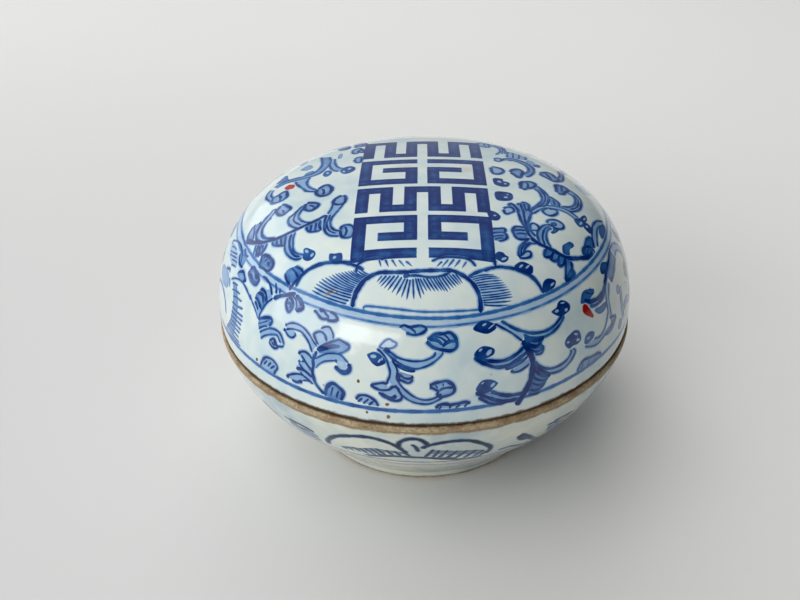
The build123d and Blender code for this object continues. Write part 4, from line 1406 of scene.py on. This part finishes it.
top.washes(
    0.5, [(-43.8, -23), (-42.8, -26.4), (-41.4, -27), (-40, -25), (-40, -24)],
    [(-38.6, -24.9), (-37.4, -27), (-35, -28.2), (-35, -24.9)],
    [(-29.7, -23.4), (-28.6, -26.2), (-25.8, -26.5), (-26, -21.4)],
    [(-45.5, -14.2), (-46.6, -16.6), (-45.8, -19.2), (-44, -18), (-43.6, -14.4)])
top.lines(1.2, [(-45.6, -14.1), (-44.8, -14.4)], [(-43.9, -14.1), (-43.2, -14.6)])
top.branch(
    [(-43.2, 3.2), (-44, 0.3), (-43.7, -2.1), (-42.6, -4.4), (-41.5, -6.5)],
    [(-42.1, 1.8), (-42.5, -0.3), (-42.2, -2.4), (-41.2, -3.8)], 0.36, 0.8)
top.leaf(
    [(-41.2, -3.8), (-40, -3.5), (-39, -2.6), (-37.9, -2.5), (-37.4, -4.1), (-37.2, -6.2), (-38.2, -7.5),
     (-39.7, -7.8), (-41.2, -7.1), (-41.6, -5.3)], 1.1, 0.45)
top.leaf(
    [(-28.5, -5), (-27.6, -3.8), (-26.5, -2.9), (-25.3, -4.1), (-24.7, -5.9), (-25, -8.2), (-25.9, -9.3),
     (-27.4, -9.3), (-28.5, -8.2), (-29, -6.5)], 1.2, 0.45)
top.leaf(
    [(-38.2, -10.3), (-37.4, -10.3), (-36.2, -11.8), (-35.1, -13.5), (-35.9, -14.7), (-37.1, -15.6),
     (-38.2, -14.9), (-39.1, -13.2), (-39.4, -12.4), (-38.7, -11.8)], 1.1, 0.5)
top.leaf(
    [(-30.9, -12.4), (-29.4, -12.5), (-27.9, -13.2), (-27.5, -14.4), (-28.2, -15.6), (-29.1, -16.6),
     (-30.3, -16.2), (-31.2, -15)], 1.15, 0.5)
top.leaf(
    [(-21.4, -10.6), (-23.2, -12.1), (-23.7, -13.5), (-23.2, -14.7), (-22.1, -15.3), (-20.6, -14.7),
     (-20.4, -12)], 1.0, 0.45)
top.lines(
    1.0, [(-39.6, -3.8), (-39, -5.6), (-39.1, -7.4)], [(-27.4, -5), (-26.8, -6.8), (-26.8, -8.8)],
    [(-40.2, -10.9), (-39.1, -12.1), (-38.8, -13.2)], [(-37.6, -12.8), (-37, -14), (-36.8, -15)],
    [(-30.2, -13.8), (-29.4, -14), (-28.4, -15.2)])
top.branch(
    [(-35.9, 2.9), (-35.3, 0.9), (-34, -1.5), (-32.9, -3.2), (-31.8, -5), (-30, -5.9), (-29.2, -6.1)],
    [(-31.8, 4.1), (-32.4, 1.8), (-32.2, -0.6), (-31.2, -2.9), (-29.7, -4.7), (-28.8, -5.3)], 0.36, 0.95)
top.branch(
    [(-42.6, 4), (-40, 5.2), (-37, 5.4), (-34, 5.6), (-31.4, 7), (-30, 9.4), (-29.4, 12), (-29.5, 15),
     (-30, 18), (-30.5, 21)],
    [(-41.6, 2.4), (-38.6, 3.6), (-35.6, 3.6), (-32, 4.4), (-29.4, 6), (-28, 9), (-27.2, 12), (-27, 15),
     (-27.5, 18), (-28, 20)], 0.5, 0.9)
top.branch(
    [(-27, 12), (-26.4, 9), (-25.2, 6.6), (-23.6, 5.6)],
    [(-26, 17), (-25.6, 13), (-24.8, 10), (-23.8, 8.2), (-22.6, 7.6)], 0.4, 0.9)
top.blot(
    [(-23.6, 5.8), (-22.6, 8.2), (-20.8, 8.9), (-19.2, 7.6), (-19, 5.2), (-20.6, 3.2), (-22.4, 3.2)],
    (-20.8, 6.6, 1.2, 1.6, 0), (-22.3, 5, 0.9, 1.4, 0), dark=0.8)
top.blot(
    [(-28.4, 4.8), (-27.6, 7.6), (-26.2, 7.2), (-25.6, 5.2), (-26.4, 3), (-27.6, 2.8)],
    (-27, 5.4, 0.9, 1.6, 0), dark=0.75)
top.washes(
    0.6, [(-34, 6.4), (-33.4, 8.2), (-31.8, 9.2), (-30.9, 8), (-31.4, 6), (-33, 5.4)],
    [(-42.2, 6), (-41, 9.4), (-40.2, 11.4), (-39.2, 10), (-38.6, 7), (-38, 5.2)])
top.washes(
    0.45, [(-35.8, 11.6), (-35, 13.6), (-33.4, 15), (-32.2, 13.6), (-32, 11.4), (-33.6, 10)],
    [(-37, 17.6), (-36.4, 20), (-34.8, 21.6), (-34.4, 19), (-35.6, 17)],
    [(-25.2, 17), (-25.2, 21), (-24.2, 22), (-23.8, 19), (-24.2, 16.6)])
top.leaf([(-21.2, 22.4), (-20.4, 25), (-19, 25.4), (-18.4, 23), (-19.4, 20.2), (-20.4, 19.8)], 0.9, 0.5)
top.leaf([(-19.8, 14), (-18.9, 15.8), (-17.9, 15.6), (-17.9, 11), (-19.2, 11.2)], 0.8, 0.5)
top.branch(
    [(24.5, -18), (24.8, -20.9), (25.1, -23.3), (25.7, -25.6), (26.1, -27.1), (26.7, -28.9),
     (27.8, -29.9)],
    [(28.6, -18), (27.8, -19.8), (27.2, -21.8), (26.7, -23.9), (26.8, -26.2), (28.2, -28.6)], 0.42, 0.95)
top.lines(0.85, [(26.1, -17.6), (26, -20.4), (26.1, -23.9), (26.6, -27.4)])
top.leaf([(27.2, -26.2), (27.2, -24.4), (28, -23.5), (29, -24), (29.4, -25.2), (28.8, -26.2)], 0.85, 0.3)
top.branch(
    [(28.9, -30.4), (28.6, -28), (29, -26), (30, -24.4), (31.2, -23.2), (32.4, -22.8)],
    [(31.9, -31), (31.1, -29.4), (30.9, -27.8), (31.2, -26), (31.9, -24.6), (33, -23.9)], 0.42, 0.8)
top.lines(0.75, [(30.3, -30.8), (29.9, -28.4), (30.5, -25.7), (31.4, -24.1), (32.6, -23.4)])
top.leaf(
    [(31.9, -22.4), (32, -21.2), (33, -20.4), (34.6, -20), (36, -20.8), (36.1, -22), (35.2, -23.1),
     (33.8, -23.3)], 0.8, 0.35)
top.washes(
    0.9, [(32.6, -22.6), (33, -21.4), (34.2, -21), (34.5, -22), (33.6, -22.9)],
    [(33.2, -23.2), (34.8, -23.2), (34.2, -24.6), (32.8, -26), (32.2, -25.6), (33, -24.4)])
top.washes(
    0.75,
    [(41, -28.9), (40.4, -27.1), (41.3, -25.1), (42.2, -22.4), (43.4, -20.6), (44.2, -21.5),
     (43.9, -23.6), (43.5, -25.9), (42.5, -27.9)])
top.lines(
    0.85,
    [(41, -28.6), (40.5, -27), (41.3, -25.1), (42.2, -22.4), (43.4, -20.7), (44.1, -21.6), (43.8, -23.8)],
    [(41.6, -27.6), (42.2, -25.4), (43, -23.4)])
top.leaf(
    [(21, -18.4), (21.6, -17.4), (23, -17.2), (23.6, -18.2), (23.4, -19.2), (22.4, -20), (21.4, -20.6),
     (21, -19.6)], 0.9, 0.35)
top.washes(
    0.5,
    [(22.4, -17.6), (22.2, -16), (23.2, -15), (24.8, -15.2), (26.6, -13.8), (27.8, -15), (28.2, -17.2),
     (26.6, -19), (24.8, -18.8)])
top.lines(
    0.9, [(22.2, -16.6), (23.2, -15.1), (24.2, -16.8), (25, -18.8)],
    [(24.6, -15.4), (25.6, -14.8), (25.8, -16.8), (26.2, -18.8)],
    [(25.8, -14.6), (26.6, -13.8), (27.7, -14.6), (27.7, -16.4), (27.3, -18)],
    [(26.6, -14.4), (26.6, -15.8), (26.9, -18)])
top.branch(
    [(31.2, -2.9), (32.4, -4.7), (33.4, -7.1), (33.8, -9.1), (33.5, -11.2), (32.8, -13.2), (31.4, -15)],
    [(30.3, -5), (31.5, -6.8), (31.9, -8.8), (31.8, -11.2), (30.9, -13.2), (29.7, -15), (28.5, -16.5),
     (27.6, -18.6)], 0.45, 0.9)
top.lines(0.75, [(31.6, -4.6), (32.6, -7.1), (32.9, -9.1), (32.6, -11.2), (31.8, -13.2), (30.3, -15.3)])
top.washes(0.55, [(34, -8.4), (35.3, -9.7), (36.2, -10.9), (36.2, -13.2), (34, -13.4), (33.8, -11)])
top.lines(
    0.8, [(34, -8.3), (35.3, -9.7), (36.2, -10.9), (36.2, -13.2)],
    [(34.8, -10.2), (35, -11.6), (34.8, -13.2)])
top.branch(
    [(27.9, -18.2), (29.1, -16.5), (30.6, -15), (32.4, -14), (34.4, -13.5), (36.5, -13.4), (38.2, -13.5),
     (39.7, -14.4), (41.2, -15.3)],
    [(28.5, -19.1), (29.7, -17.6), (31.2, -15.9), (32.9, -15), (35.3, -14.7), (37.6, -15), (39.1, -15.9),
     (40, -16.8)], 0.36, 0.75)
top.leaf(
    [(32.9, -15.3), (31.8, -15.9), (31.2, -17.1), (32.1, -18.5), (33.5, -18.4), (35, -16.8),
     (35.1, -15.3)], 0.95, 0.3)
top.blot(
    [(39.4, -17.4), (40.3, -19.1), (41.5, -18.8), (42.6, -16.5), (43.8, -13.8), (43.5, -12.1),
     (42.4, -13.2), (41.4, -15), (40, -16)], (41.4, -17.2, 0.8, 2, -25), (42.8, -14.4, 0.6, 1.6, -25),
    dark=0.82)
top.branch(
    [(40.3, -0.8), (41.8, -1.8), (42.9, -3.2), (43.4, -5.3), (42.9, -8.2), (42.1, -10.6), (40.6, -12.6),
     (38.8, -14.1)],
    [(39.4, -3.6), (40.9, -4.1), (41.6, -5.6), (41.3, -8.2), (40.3, -10.3), (38.8, -11.8), (36.5, -12.9)],
    0.45, 0.9)
top.lines(0.75, [(41.4, -3), (42.4, -5.9), (42, -8.5), (40.9, -10.9), (39.1, -12.7)])
top.leaf(
    [(26.9, -6.5), (26.8, -4.1), (27.2, -2.1), (28.5, -1.3), (29.9, -1), (30.9, -1.8), (30.9, -3.2),
     (30, -4.6), (28.5, -5.6)], 1.15, 0.5)
top.lines(1.0, [(28.7, -1.6), (28.9, -3.4), (28.5, -5.2)])
top.leaf(
    [(36.8, -5.3), (36.8, -2.6), (37.1, -0.3), (38.8, 0.3), (40.1, -0.6), (40.3, -1.8), (39.4, -3.2),
     (38.2, -5.3)], 1.15, 0.6)
top.lines(1.0, [(38.6, 0), (38.4, -2), (38.2, -4)])
top.blot(
    [(19.4, -1.2), (22, -0.9), (22.2, -2.4), (23.4, -2.8), (24, -3.8), (23.4, -5.8), (22, -6.4),
     (20.8, -6.2), (19.4, -5)], (21, -3.2, 1.2, 1.6, 0), (22.6, -4.2, 0.8, 1, 0))
top.blot(
    [(19.4, -9.4), (23.4, -9.2), (24.2, -11), (23.8, -13), (22.4, -14.2), (19.4, -14)],
    (22, -12.2, 1.4, 0.9, 30), (22.6, -10.6, 0.7, 0.7, 0))
top.leaf(
    [(24.9, 4.1), (25.4, 5.9), (27.1, 7.2), (28.1, 6.5), (28.4, 5), (27.9, 3.2), (27.4, 1.5), (26.8, 0.9),
     (25.9, 2.4)], 1.15, 0.55)
top.branch(
    [(23.2, 12.6), (24, 14.8), (26.4, 15.6), (28.8, 14.8), (30.8, 12.6), (31.8, 10), (31.9, 8.2),
     (31.6, 6.2), (30.7, 4.1), (29.7, 2.6), (28.8, 2.1)],
    [(25, 13.4), (26.4, 14), (28, 13.2), (29.4, 11.6), (30.1, 10), (30.4, 8.2), (30.1, 6.5), (29.1, 5),
     (28.2, 4)], 0.5, 0.9)
top.leaf(
    [(33.4, 6.2), (34.7, 7.6), (36, 8.2), (37.1, 7.4), (37.6, 5.9), (38.6, 4.6), (37.8, 2.6), (36.6, 2.2),
     (35.3, 3.5), (34, 4.7)], 1.05, 0.5)
top.lines(1.0, [(35, 7.6), (35.6, 5.6), (36.4, 3)])
top.branch(
    [(41.8, 15.6), (41, 12.6), (40.6, 10), (40.3, 7.6), (39.7, 4.7), (38.8, 3.2), (37.6, 2.2)],
    [(39.6, 13), (39.6, 10), (39.3, 7.6), (38.5, 5.6)], 0.45, 0.8)
top.leaf(
    [(19.6, 6.6), (21.4, 6.6), (22.6, 5.6), (22.8, 4), (21.8, 2.4), (20.6, 1.8), (19.6, 2.6)], 1.0, 0.4)
top.leaf([(21, 13), (21.6, 14.6), (22.8, 14.6), (22.9, 12.8), (21.8, 11.8)], 0.8, 0.45)
top.washes(
    0.4, [(24.8, 16), (25, 20), (26, 22.8), (28.6, 21.8), (30.6, 19.4), (31, 16.6), (28, 15.8)],
    [(30.4, 12.6), (30.2, 15), (31.4, 16.8), (33, 15), (32.6, 12.4)])
top.washes(
    0.8, [(32, 11.6), (32.8, 13.4), (34, 13.8), (34.5, 12), (33.4, 10.8)],
    [(46.6, -16.4), (47, -14), (48, -11.6), (49, -9.8), (49.6, -10.6), (49, -13.6), (48, -16.6),
     (47.2, -18)])
top.lines(
    0.7, [(25, 16.4), (25.4, 20), (26, 22.6)], [(26.6, 16.4), (27, 19), (27.2, 22.2)],
    [(28.2, 16.2), (28.8, 18.6), (29, 21)], [(30, 16), (30.8, 18), (30.4, 19.8)])
top.washes(
    0.22, [(43, 5), (44.4, 2), (46, 1.4), (48, 4), (48, 6.6), (45, 7.4)],
    [(-37.6, 31), (-38, 33), (-36, 34), (-34.4, 32.6), (-35.6, 31)],
    [(-26, 26), (-25.4, 28), (-23.6, 28.4), (-23.4, 26.4)],
    [(42.6, 24.4), (43, 28), (44, 31), (45.2, 30), (45, 26)])
top.finish("lid_crown_scrolls", "lid", lid_blue)

# Brushwork on the bowl
petals = Brush(on_bowl, 23, (0.0, 72.0, 144.0, 216.0, 288.0))
petals.line(
    [(-26.5, 16), (-25.5, 12.5), (-23, 9), (-20, 7), (-16, 5.5), (-12.5, 5), (-9, 6), (-6.5, 7.8),
     (-5, 10), (-4, 11.5)], 1.25, 0.95)
petals.line([(-6, 8), (-5.8, 6), (-4.5, 4.5), (-3, 3.8), (-1, 4), (0.5, 5.5), (1, 7)], 1.2, 0.95)
petals.line([(-3, 6.3), (-2, 7.5), (-1.5, 9), (-1.3, 10.5)], 0.9, 0.9)
petals.line(
    [(-0.5, 8.5), (1, 7), (4, 5.8), (7.5, 5.3), (11, 5.9), (14, 8), (16.5, 10.5), (17.3, 13), (16.5, 16)],
    1.25, 0.95)
petals.line(
    [(-16, 17), (-11, 15.5), (-8, 14.5), (-4, 14), (0, 14.3), (5, 16), (10, 17.5), (16, 17.7)], 1.05, 0.9)
petals.hatch(
    [[(2.5, 9), (0, 14.5)], [(4, 9.5), (2.2, 14.5)], [(6, 9.8), (3.5, 15.5)], [(8.5, 10.5), (5.5, 16)],
     [(11, 11), (8, 16.5)], [(13.5, 11.5), (10.5, 17)], [(15.5, 12.5), (13, 17)],
     [(16.5, 14), (15, 17.3)]], 0.85, 0.95, 0.42)
petals.hatch(
    [[(-5, 11), (-3, 14)], [(-7.5, 10.5), (-5.5, 14)], [(-9.5, 10.5), (-7.5, 14)],
     [(-12, 10.3), (-9.5, 14.5)], [(-13.5, 10.7), (-11, 15)], [(-15, 11.3), (-12.5, 15.5)],
     [(-16.5, 12), (-14.5, 15.8)], [(-18.5, 12.3), (-16.5, 15)], [(-20.3, 13), (-18.5, 15.5)],
     [(-22, 14), (-20.4, 16)]], 0.82, 0.95, 0.38)
petals.line([(-39, 9.5), (-36.5, 10), (-34, 11.5), (-31, 11.7), (-28.5, 13)], 0.85, 0.85)
petals.wash([(-38, 10.6), (-34, 12), (-29.6, 13.4), (-28.6, 16), (-32, 17), (-36.6, 15.4)], 0.3, 0.4)
petals.leaf([(24.6, 9), (26, 9.6), (28, 11.8), (29.4, 13.7), (26.8, 12.8), (25, 11)], 0.9, 0.7)
petals.lines(
    1.2, [(-12, 14.6), (-6, 14.2), (0, 14.4), (6, 15.4), (9, 16.4)],
    [(29, 13.4), (32, 17), (35.4, 21), (38, 24.4)], [(-29, 10.6), (-33, 9.4), (-37, 9.4)])
petals.line([(20, 15.5), (24, 15.5), (28, 18), (31, 19)], 0.9, 0.85)
petals.finish("bowl_petals", "base", base_blue_shaded)
rings = Brush(on_bowl, 29)
for down, width, load in ((18.6, 0.7, 0.6), (23, 1.0, 0.45), (41, 1.6, 0.55)):
    rings.line([(turn, down) for turn in range(-180, 181, 15)], width, load, (0.01, 0.01))
rings.finish("bowl_rings", "base", base_blue_shaded)

# Spots and stains
red_spots = underglaze(
    "red_spots", lid_tint, lid_pool, linear(150, 8, 10), linear(168, 34, 30), linear(196, 120, 110))
brown_spots = underglaze(
    "brown_spots", lid_tint, lid_pool, linear(50, 38, 30), linear(120, 88, 58), linear(190, 176, 140))
red = Brush(on_side, 31)
red.wash(
    [(44.3, 20.8), (44.9, 21.9), (45.8, 22.1), (46.6, 21.4), (47.2, 20.3), (47.7, 18.9), (48.1, 17.8),
     (47.4, 17.5), (46.3, 18.3), (45.2, 19.2), (44.5, 20)], 0.95, 1.0)
red.finish("lid_red_spot_side", "lid", red_spots)
red_top = Brush(on_top, 37)
red_top.spot((-37.2, -0.1), 3.4, 3.4, 10, 0.6, 0.75)
red_top.finish("lid_red_spot_top", "lid", red_spots)
brown = Brush(on_side, 41)
brown_places = [
    ((-45.2, 7), 1.0, 1.0), ((-15, 11.8), 0.9, 0.7), ((-8.2, 6.5), 1.0, 0.6), ((-8, 2.8), 1.1, 0.6),
    ((-13, 3.4), 0.8, 0.6), ((-26, 31.5), 0.7, 0.5), ((-24.3, 31.7), 0.8, 0.5)]
for at, size, load in brown_places:
    brown.spot(at, size, size * 1.1, 0, load, load)
brown.finish("lid_brown_spots", "lid", brown_spots)
stains = Brush(on_top, 43)
stain_places = [
    ((-5.4, 5), 7, 5, 0.1), ((12, 3.6), 7, 5.4, 0.13), ((2.2, -4), 2.2, 6, 0.12),
    ((21, 43), 11, 4.4, 0.3), ((17, 44.6), 6, 3, 0.24), ((-22, -44.6), 3, 1.2, 0.5)]
for at, across, along, load in stain_places:
    stains.spot(at, across, along, 12, load, load * 0.6)
stains.finish("lid_stains", "lid", brown_spots)

# Paste
paste_inset = 0.3
paste_edge = 26.0
paste_top = 32.0


def stirred_paste(columns=240, rows=120):
    """Heap of paste as it was left by a spatula: an arc less the depth of a winding furrow.

    The furrow's phase is the radius over its spacing plus the angle plus two slow waves. Its crest is
    half of one plus the phase's cosine, to the power of 1.4.
    """
    shell = Wall([([
        (0, bowl_floor + paste_inset), (bowl_floor_end[0], bowl_floor_end[1] + paste_inset),
        (belly[1][0] - (bowl_wall + paste_inset) * wall_shares[0],
         belly[1][1] + (bowl_wall + paste_inset) * wall_shares[1]),
        (bowl_mouth - paste_inset, seam_height)], 0.0)])
    heap = tangent_arcs([(0, paste_top), (bowl_mouth, paste_edge)], 0.0)
    brim = np.interp(paste_edge - 0.2, shell.height[200:], shell.along[200:])
    edge_radius = np.interp(brim, shell.along, shell.radius) - 0.1
    turn = np.linspace(-180, 180, columns, endpoint=False)
    around = np.radians(turn)
    radius = edge_radius * np.linspace(0, 1, rows + 1)[1:, None] ** 0.9 + 0 * around
    phase = 2 * np.pi * radius / 8.5 - around + 0.9 * np.sin(2 * around + radius / 9)
    phase += 0.5 * np.sin(3 * around - radius / 6 + 1)
    crest = (0.5 + 0.5 * np.cos(phase)) ** 1.4
    calm = np.clip(radius / 7, 0, 1) * np.clip((edge_radius - radius) / 3, 0, 1)
    small = 0.12 * np.sin(1.3 * radius * np.cos(around) + 2) * np.sin(1.1 * radius * np.sin(around))
    depth = 0.5 + calm * (2.4 * (1 - crest) + small)
    height = np.interp(radius, heap[:, 0], heap[:, 1]) - depth
    down = np.linspace(brim, 0, 40, endpoint=False)[1:]
    wall_radius = np.interp(down, shell.along, shell.radius)[:, None] + 0 * around
    wall_height = np.interp(down, shell.along, shell.height)[:, None] + 0 * around
    wall_height[0] = np.minimum(wall_height[0], paste_edge - 1)
    r, z = np.concatenate([radius, wall_radius]), np.concatenate([height, wall_height])
    rings = np.stack([r * np.sin(around), -r * np.cos(around), z], -1).reshape(-1, 3)
    points = np.concatenate([[[0, 0, paste_top - 0.5]], rings, [[0, 0, bowl_floor + paste_inset]]]) * MM
    # Fold height: low in the furrows, where the paste's colour is darkened as painted shade.
    marks = np.concatenate([[1.0], (1 - calm * (1 - crest)).ravel(), np.ones(wall_radius.size + 1)])
    faces = turned_outwards(points, turned_faces(len(r), columns))
    piece = add_piece("stirred_paste", points, faces, "base", paste_finish, {"fold_height": marks})
    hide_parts("seal_paste")
    return piece


stirred_paste()

# Stage, light and camera


def soft_window(name, place, aim, width, height, radiance, colour=(1.0, 1.0, 1.0)):
    """Area lamp whose face looks as bright as the radiance: power is radiance * pi * area."""
    lamp = bpy.data.lights.new(name, "AREA")
    lamp.shape = "RECTANGLE"
    lamp.size, lamp.size_y = width, height
    lamp.energy = radiance * math.pi * width * height
    lamp.color = colour
    made = bpy.data.objects.new(name, lamp)
    made.location = place
    made.rotation_euler = (Vector(aim) - Vector(place)).to_track_quat("-Z", "Y").to_euler()
    bpy.context.scene.collection.objects.link(made)
    return made


camera_place = Vector((0.0, -0.205653, 0.170557))
camera_right = Vector((0.999583, 0.021950, -0.018779))
camera_up = Vector((0.003973, 0.539446, 0.842011))
lens = bpy.data.cameras.new("camera")
lens.lens, lens.sensor_width = 36.0, 36.0
lens.clip_start = 0.01
camera = bpy.data.objects.new("camera", lens)
axes = Matrix((camera_right, camera_up, camera_right.cross(camera_up))).transposed()
camera.matrix_world = Matrix.Translation(camera_place) @ axes.to_4x4()
bpy.context.scene.collection.objects.link(camera)
bpy.context.scene.camera = camera


def mirror_way(point, normal):
    """Direction from a point of the pot to what it mirrors for the camera."""
    toward = (camera_place - point).normalized()
    return (2 * normal.dot(toward) * normal - toward).normalized()


window_spot = Vector(on_side(-13.5, 23.0, glaze_thickness).tolist())
window_normal = Vector((on_side(-13.5, 23.0, 1.0) - on_side(-13.5, 23.0, 0.0)).tolist()).normalized()
window_place = window_spot + 0.9 * mirror_way(window_spot, window_normal)
soft_window("front_window", window_place, window_spot, 0.50, 0.24, 4.3)
soft_window("back_wall", (0, 2.4, 0.75), (0, 0, 0.1), 4.0, 1.3, 0.45).visible_glossy = False
soft_window("left_window", (-1.2, -0.75, 0.6), (0, 0, 0.04), 1.5, 0.9, 2.3)
soft_window("skylight", (-0.4, -0.3, 1.45), (0, 0, 0.04), 1.4, 1.0, 1.7).visible_glossy = False
soft_window("far_window", (-1.3, 0.9, 0.7), (0, 0, 0.04), 1.5, 1.0, 1.0)
soft_window("back_window", (-0.3, 1.0, 1.3), (0, 0, 0.04), 1.4, 1.0, 1.6).visible_glossy = False

floor_mesh = bpy.data.meshes.new("floor")
sweep = np.linspace(0, 2 * np.pi, 96, endpoint=False)
rim = np.stack([3.0 * np.cos(sweep), 3.0 * np.sin(sweep), 0 * sweep], -1)
floor_mesh.from_pydata(rim.tolist(), [], [list(range(96))])
# The floor's colour carries painted light and shade: darkest at the near left, lightest at the far right.
floor_with_painted_light, floor_tree, floor_shader = new_material("floor_with_painted_light")
floor_place = node(floor_tree, "SeparateXYZ", None, _0=object_place(floor_tree))
across = ranged(floor_tree, floor_place.outputs["X"], -0.45, 0.45)
away = ranged(floor_tree, floor_place.outputs["Y"], -0.3, 0.6)
near_painted_shading = mixed(floor_tree, across, linear(190, 189, 190), linear(232, 231, 225))
far_painted_shading = mixed(floor_tree, across, linear(230, 230, 226), linear(246, 245, 241))
floor_tree.links.new(mixed(floor_tree, away, near_painted_shading, far_painted_shading), floor_shader.inputs["Base Color"])
floor_shader.inputs["Roughness"].default_value = 0.9
floor_mesh.materials.append(floor_with_painted_light)
floor = bpy.data.objects.new("floor", floor_mesh)
bpy.context.scene.collection.objects.link(floor)

world = bpy.data.worlds.new("room")
bpy.context.scene.world = world
world.use_nodes = True
room_way = node(
    world.node_tree, "SeparateXYZ", None, _0=node(world.node_tree, "TexCoord").outputs["Generated"])
room_nearness = arithmetic(world.node_tree, "MULTIPLY", room_way.outputs["Y"], -0.35)
room_side = arithmetic(world.node_tree, "ADD", room_way.outputs["X"], room_nearness)
room_seen = node(world.node_tree, "LightPath").outputs["Is Camera Ray"]
room_side = arithmetic(
    world.node_tree, "SUBTRACT", ranged(world.node_tree, room_side, -0.3, 0.7), room_seen)
room_light = world.node_tree.nodes["Background"]
room_colour = mixed(world.node_tree, room_side, linear(236, 240, 246), linear(46, 48, 52))
world.node_tree.links.new(room_colour, room_light.inputs["Color"])
world.node_tree.links.new(
    ranged(world.node_tree, room_seen, 0, 1, 0.44, 0.85), room_light.inputs["Strength"])
bpy.context.scene.view_settings.view_transform = "Standard"
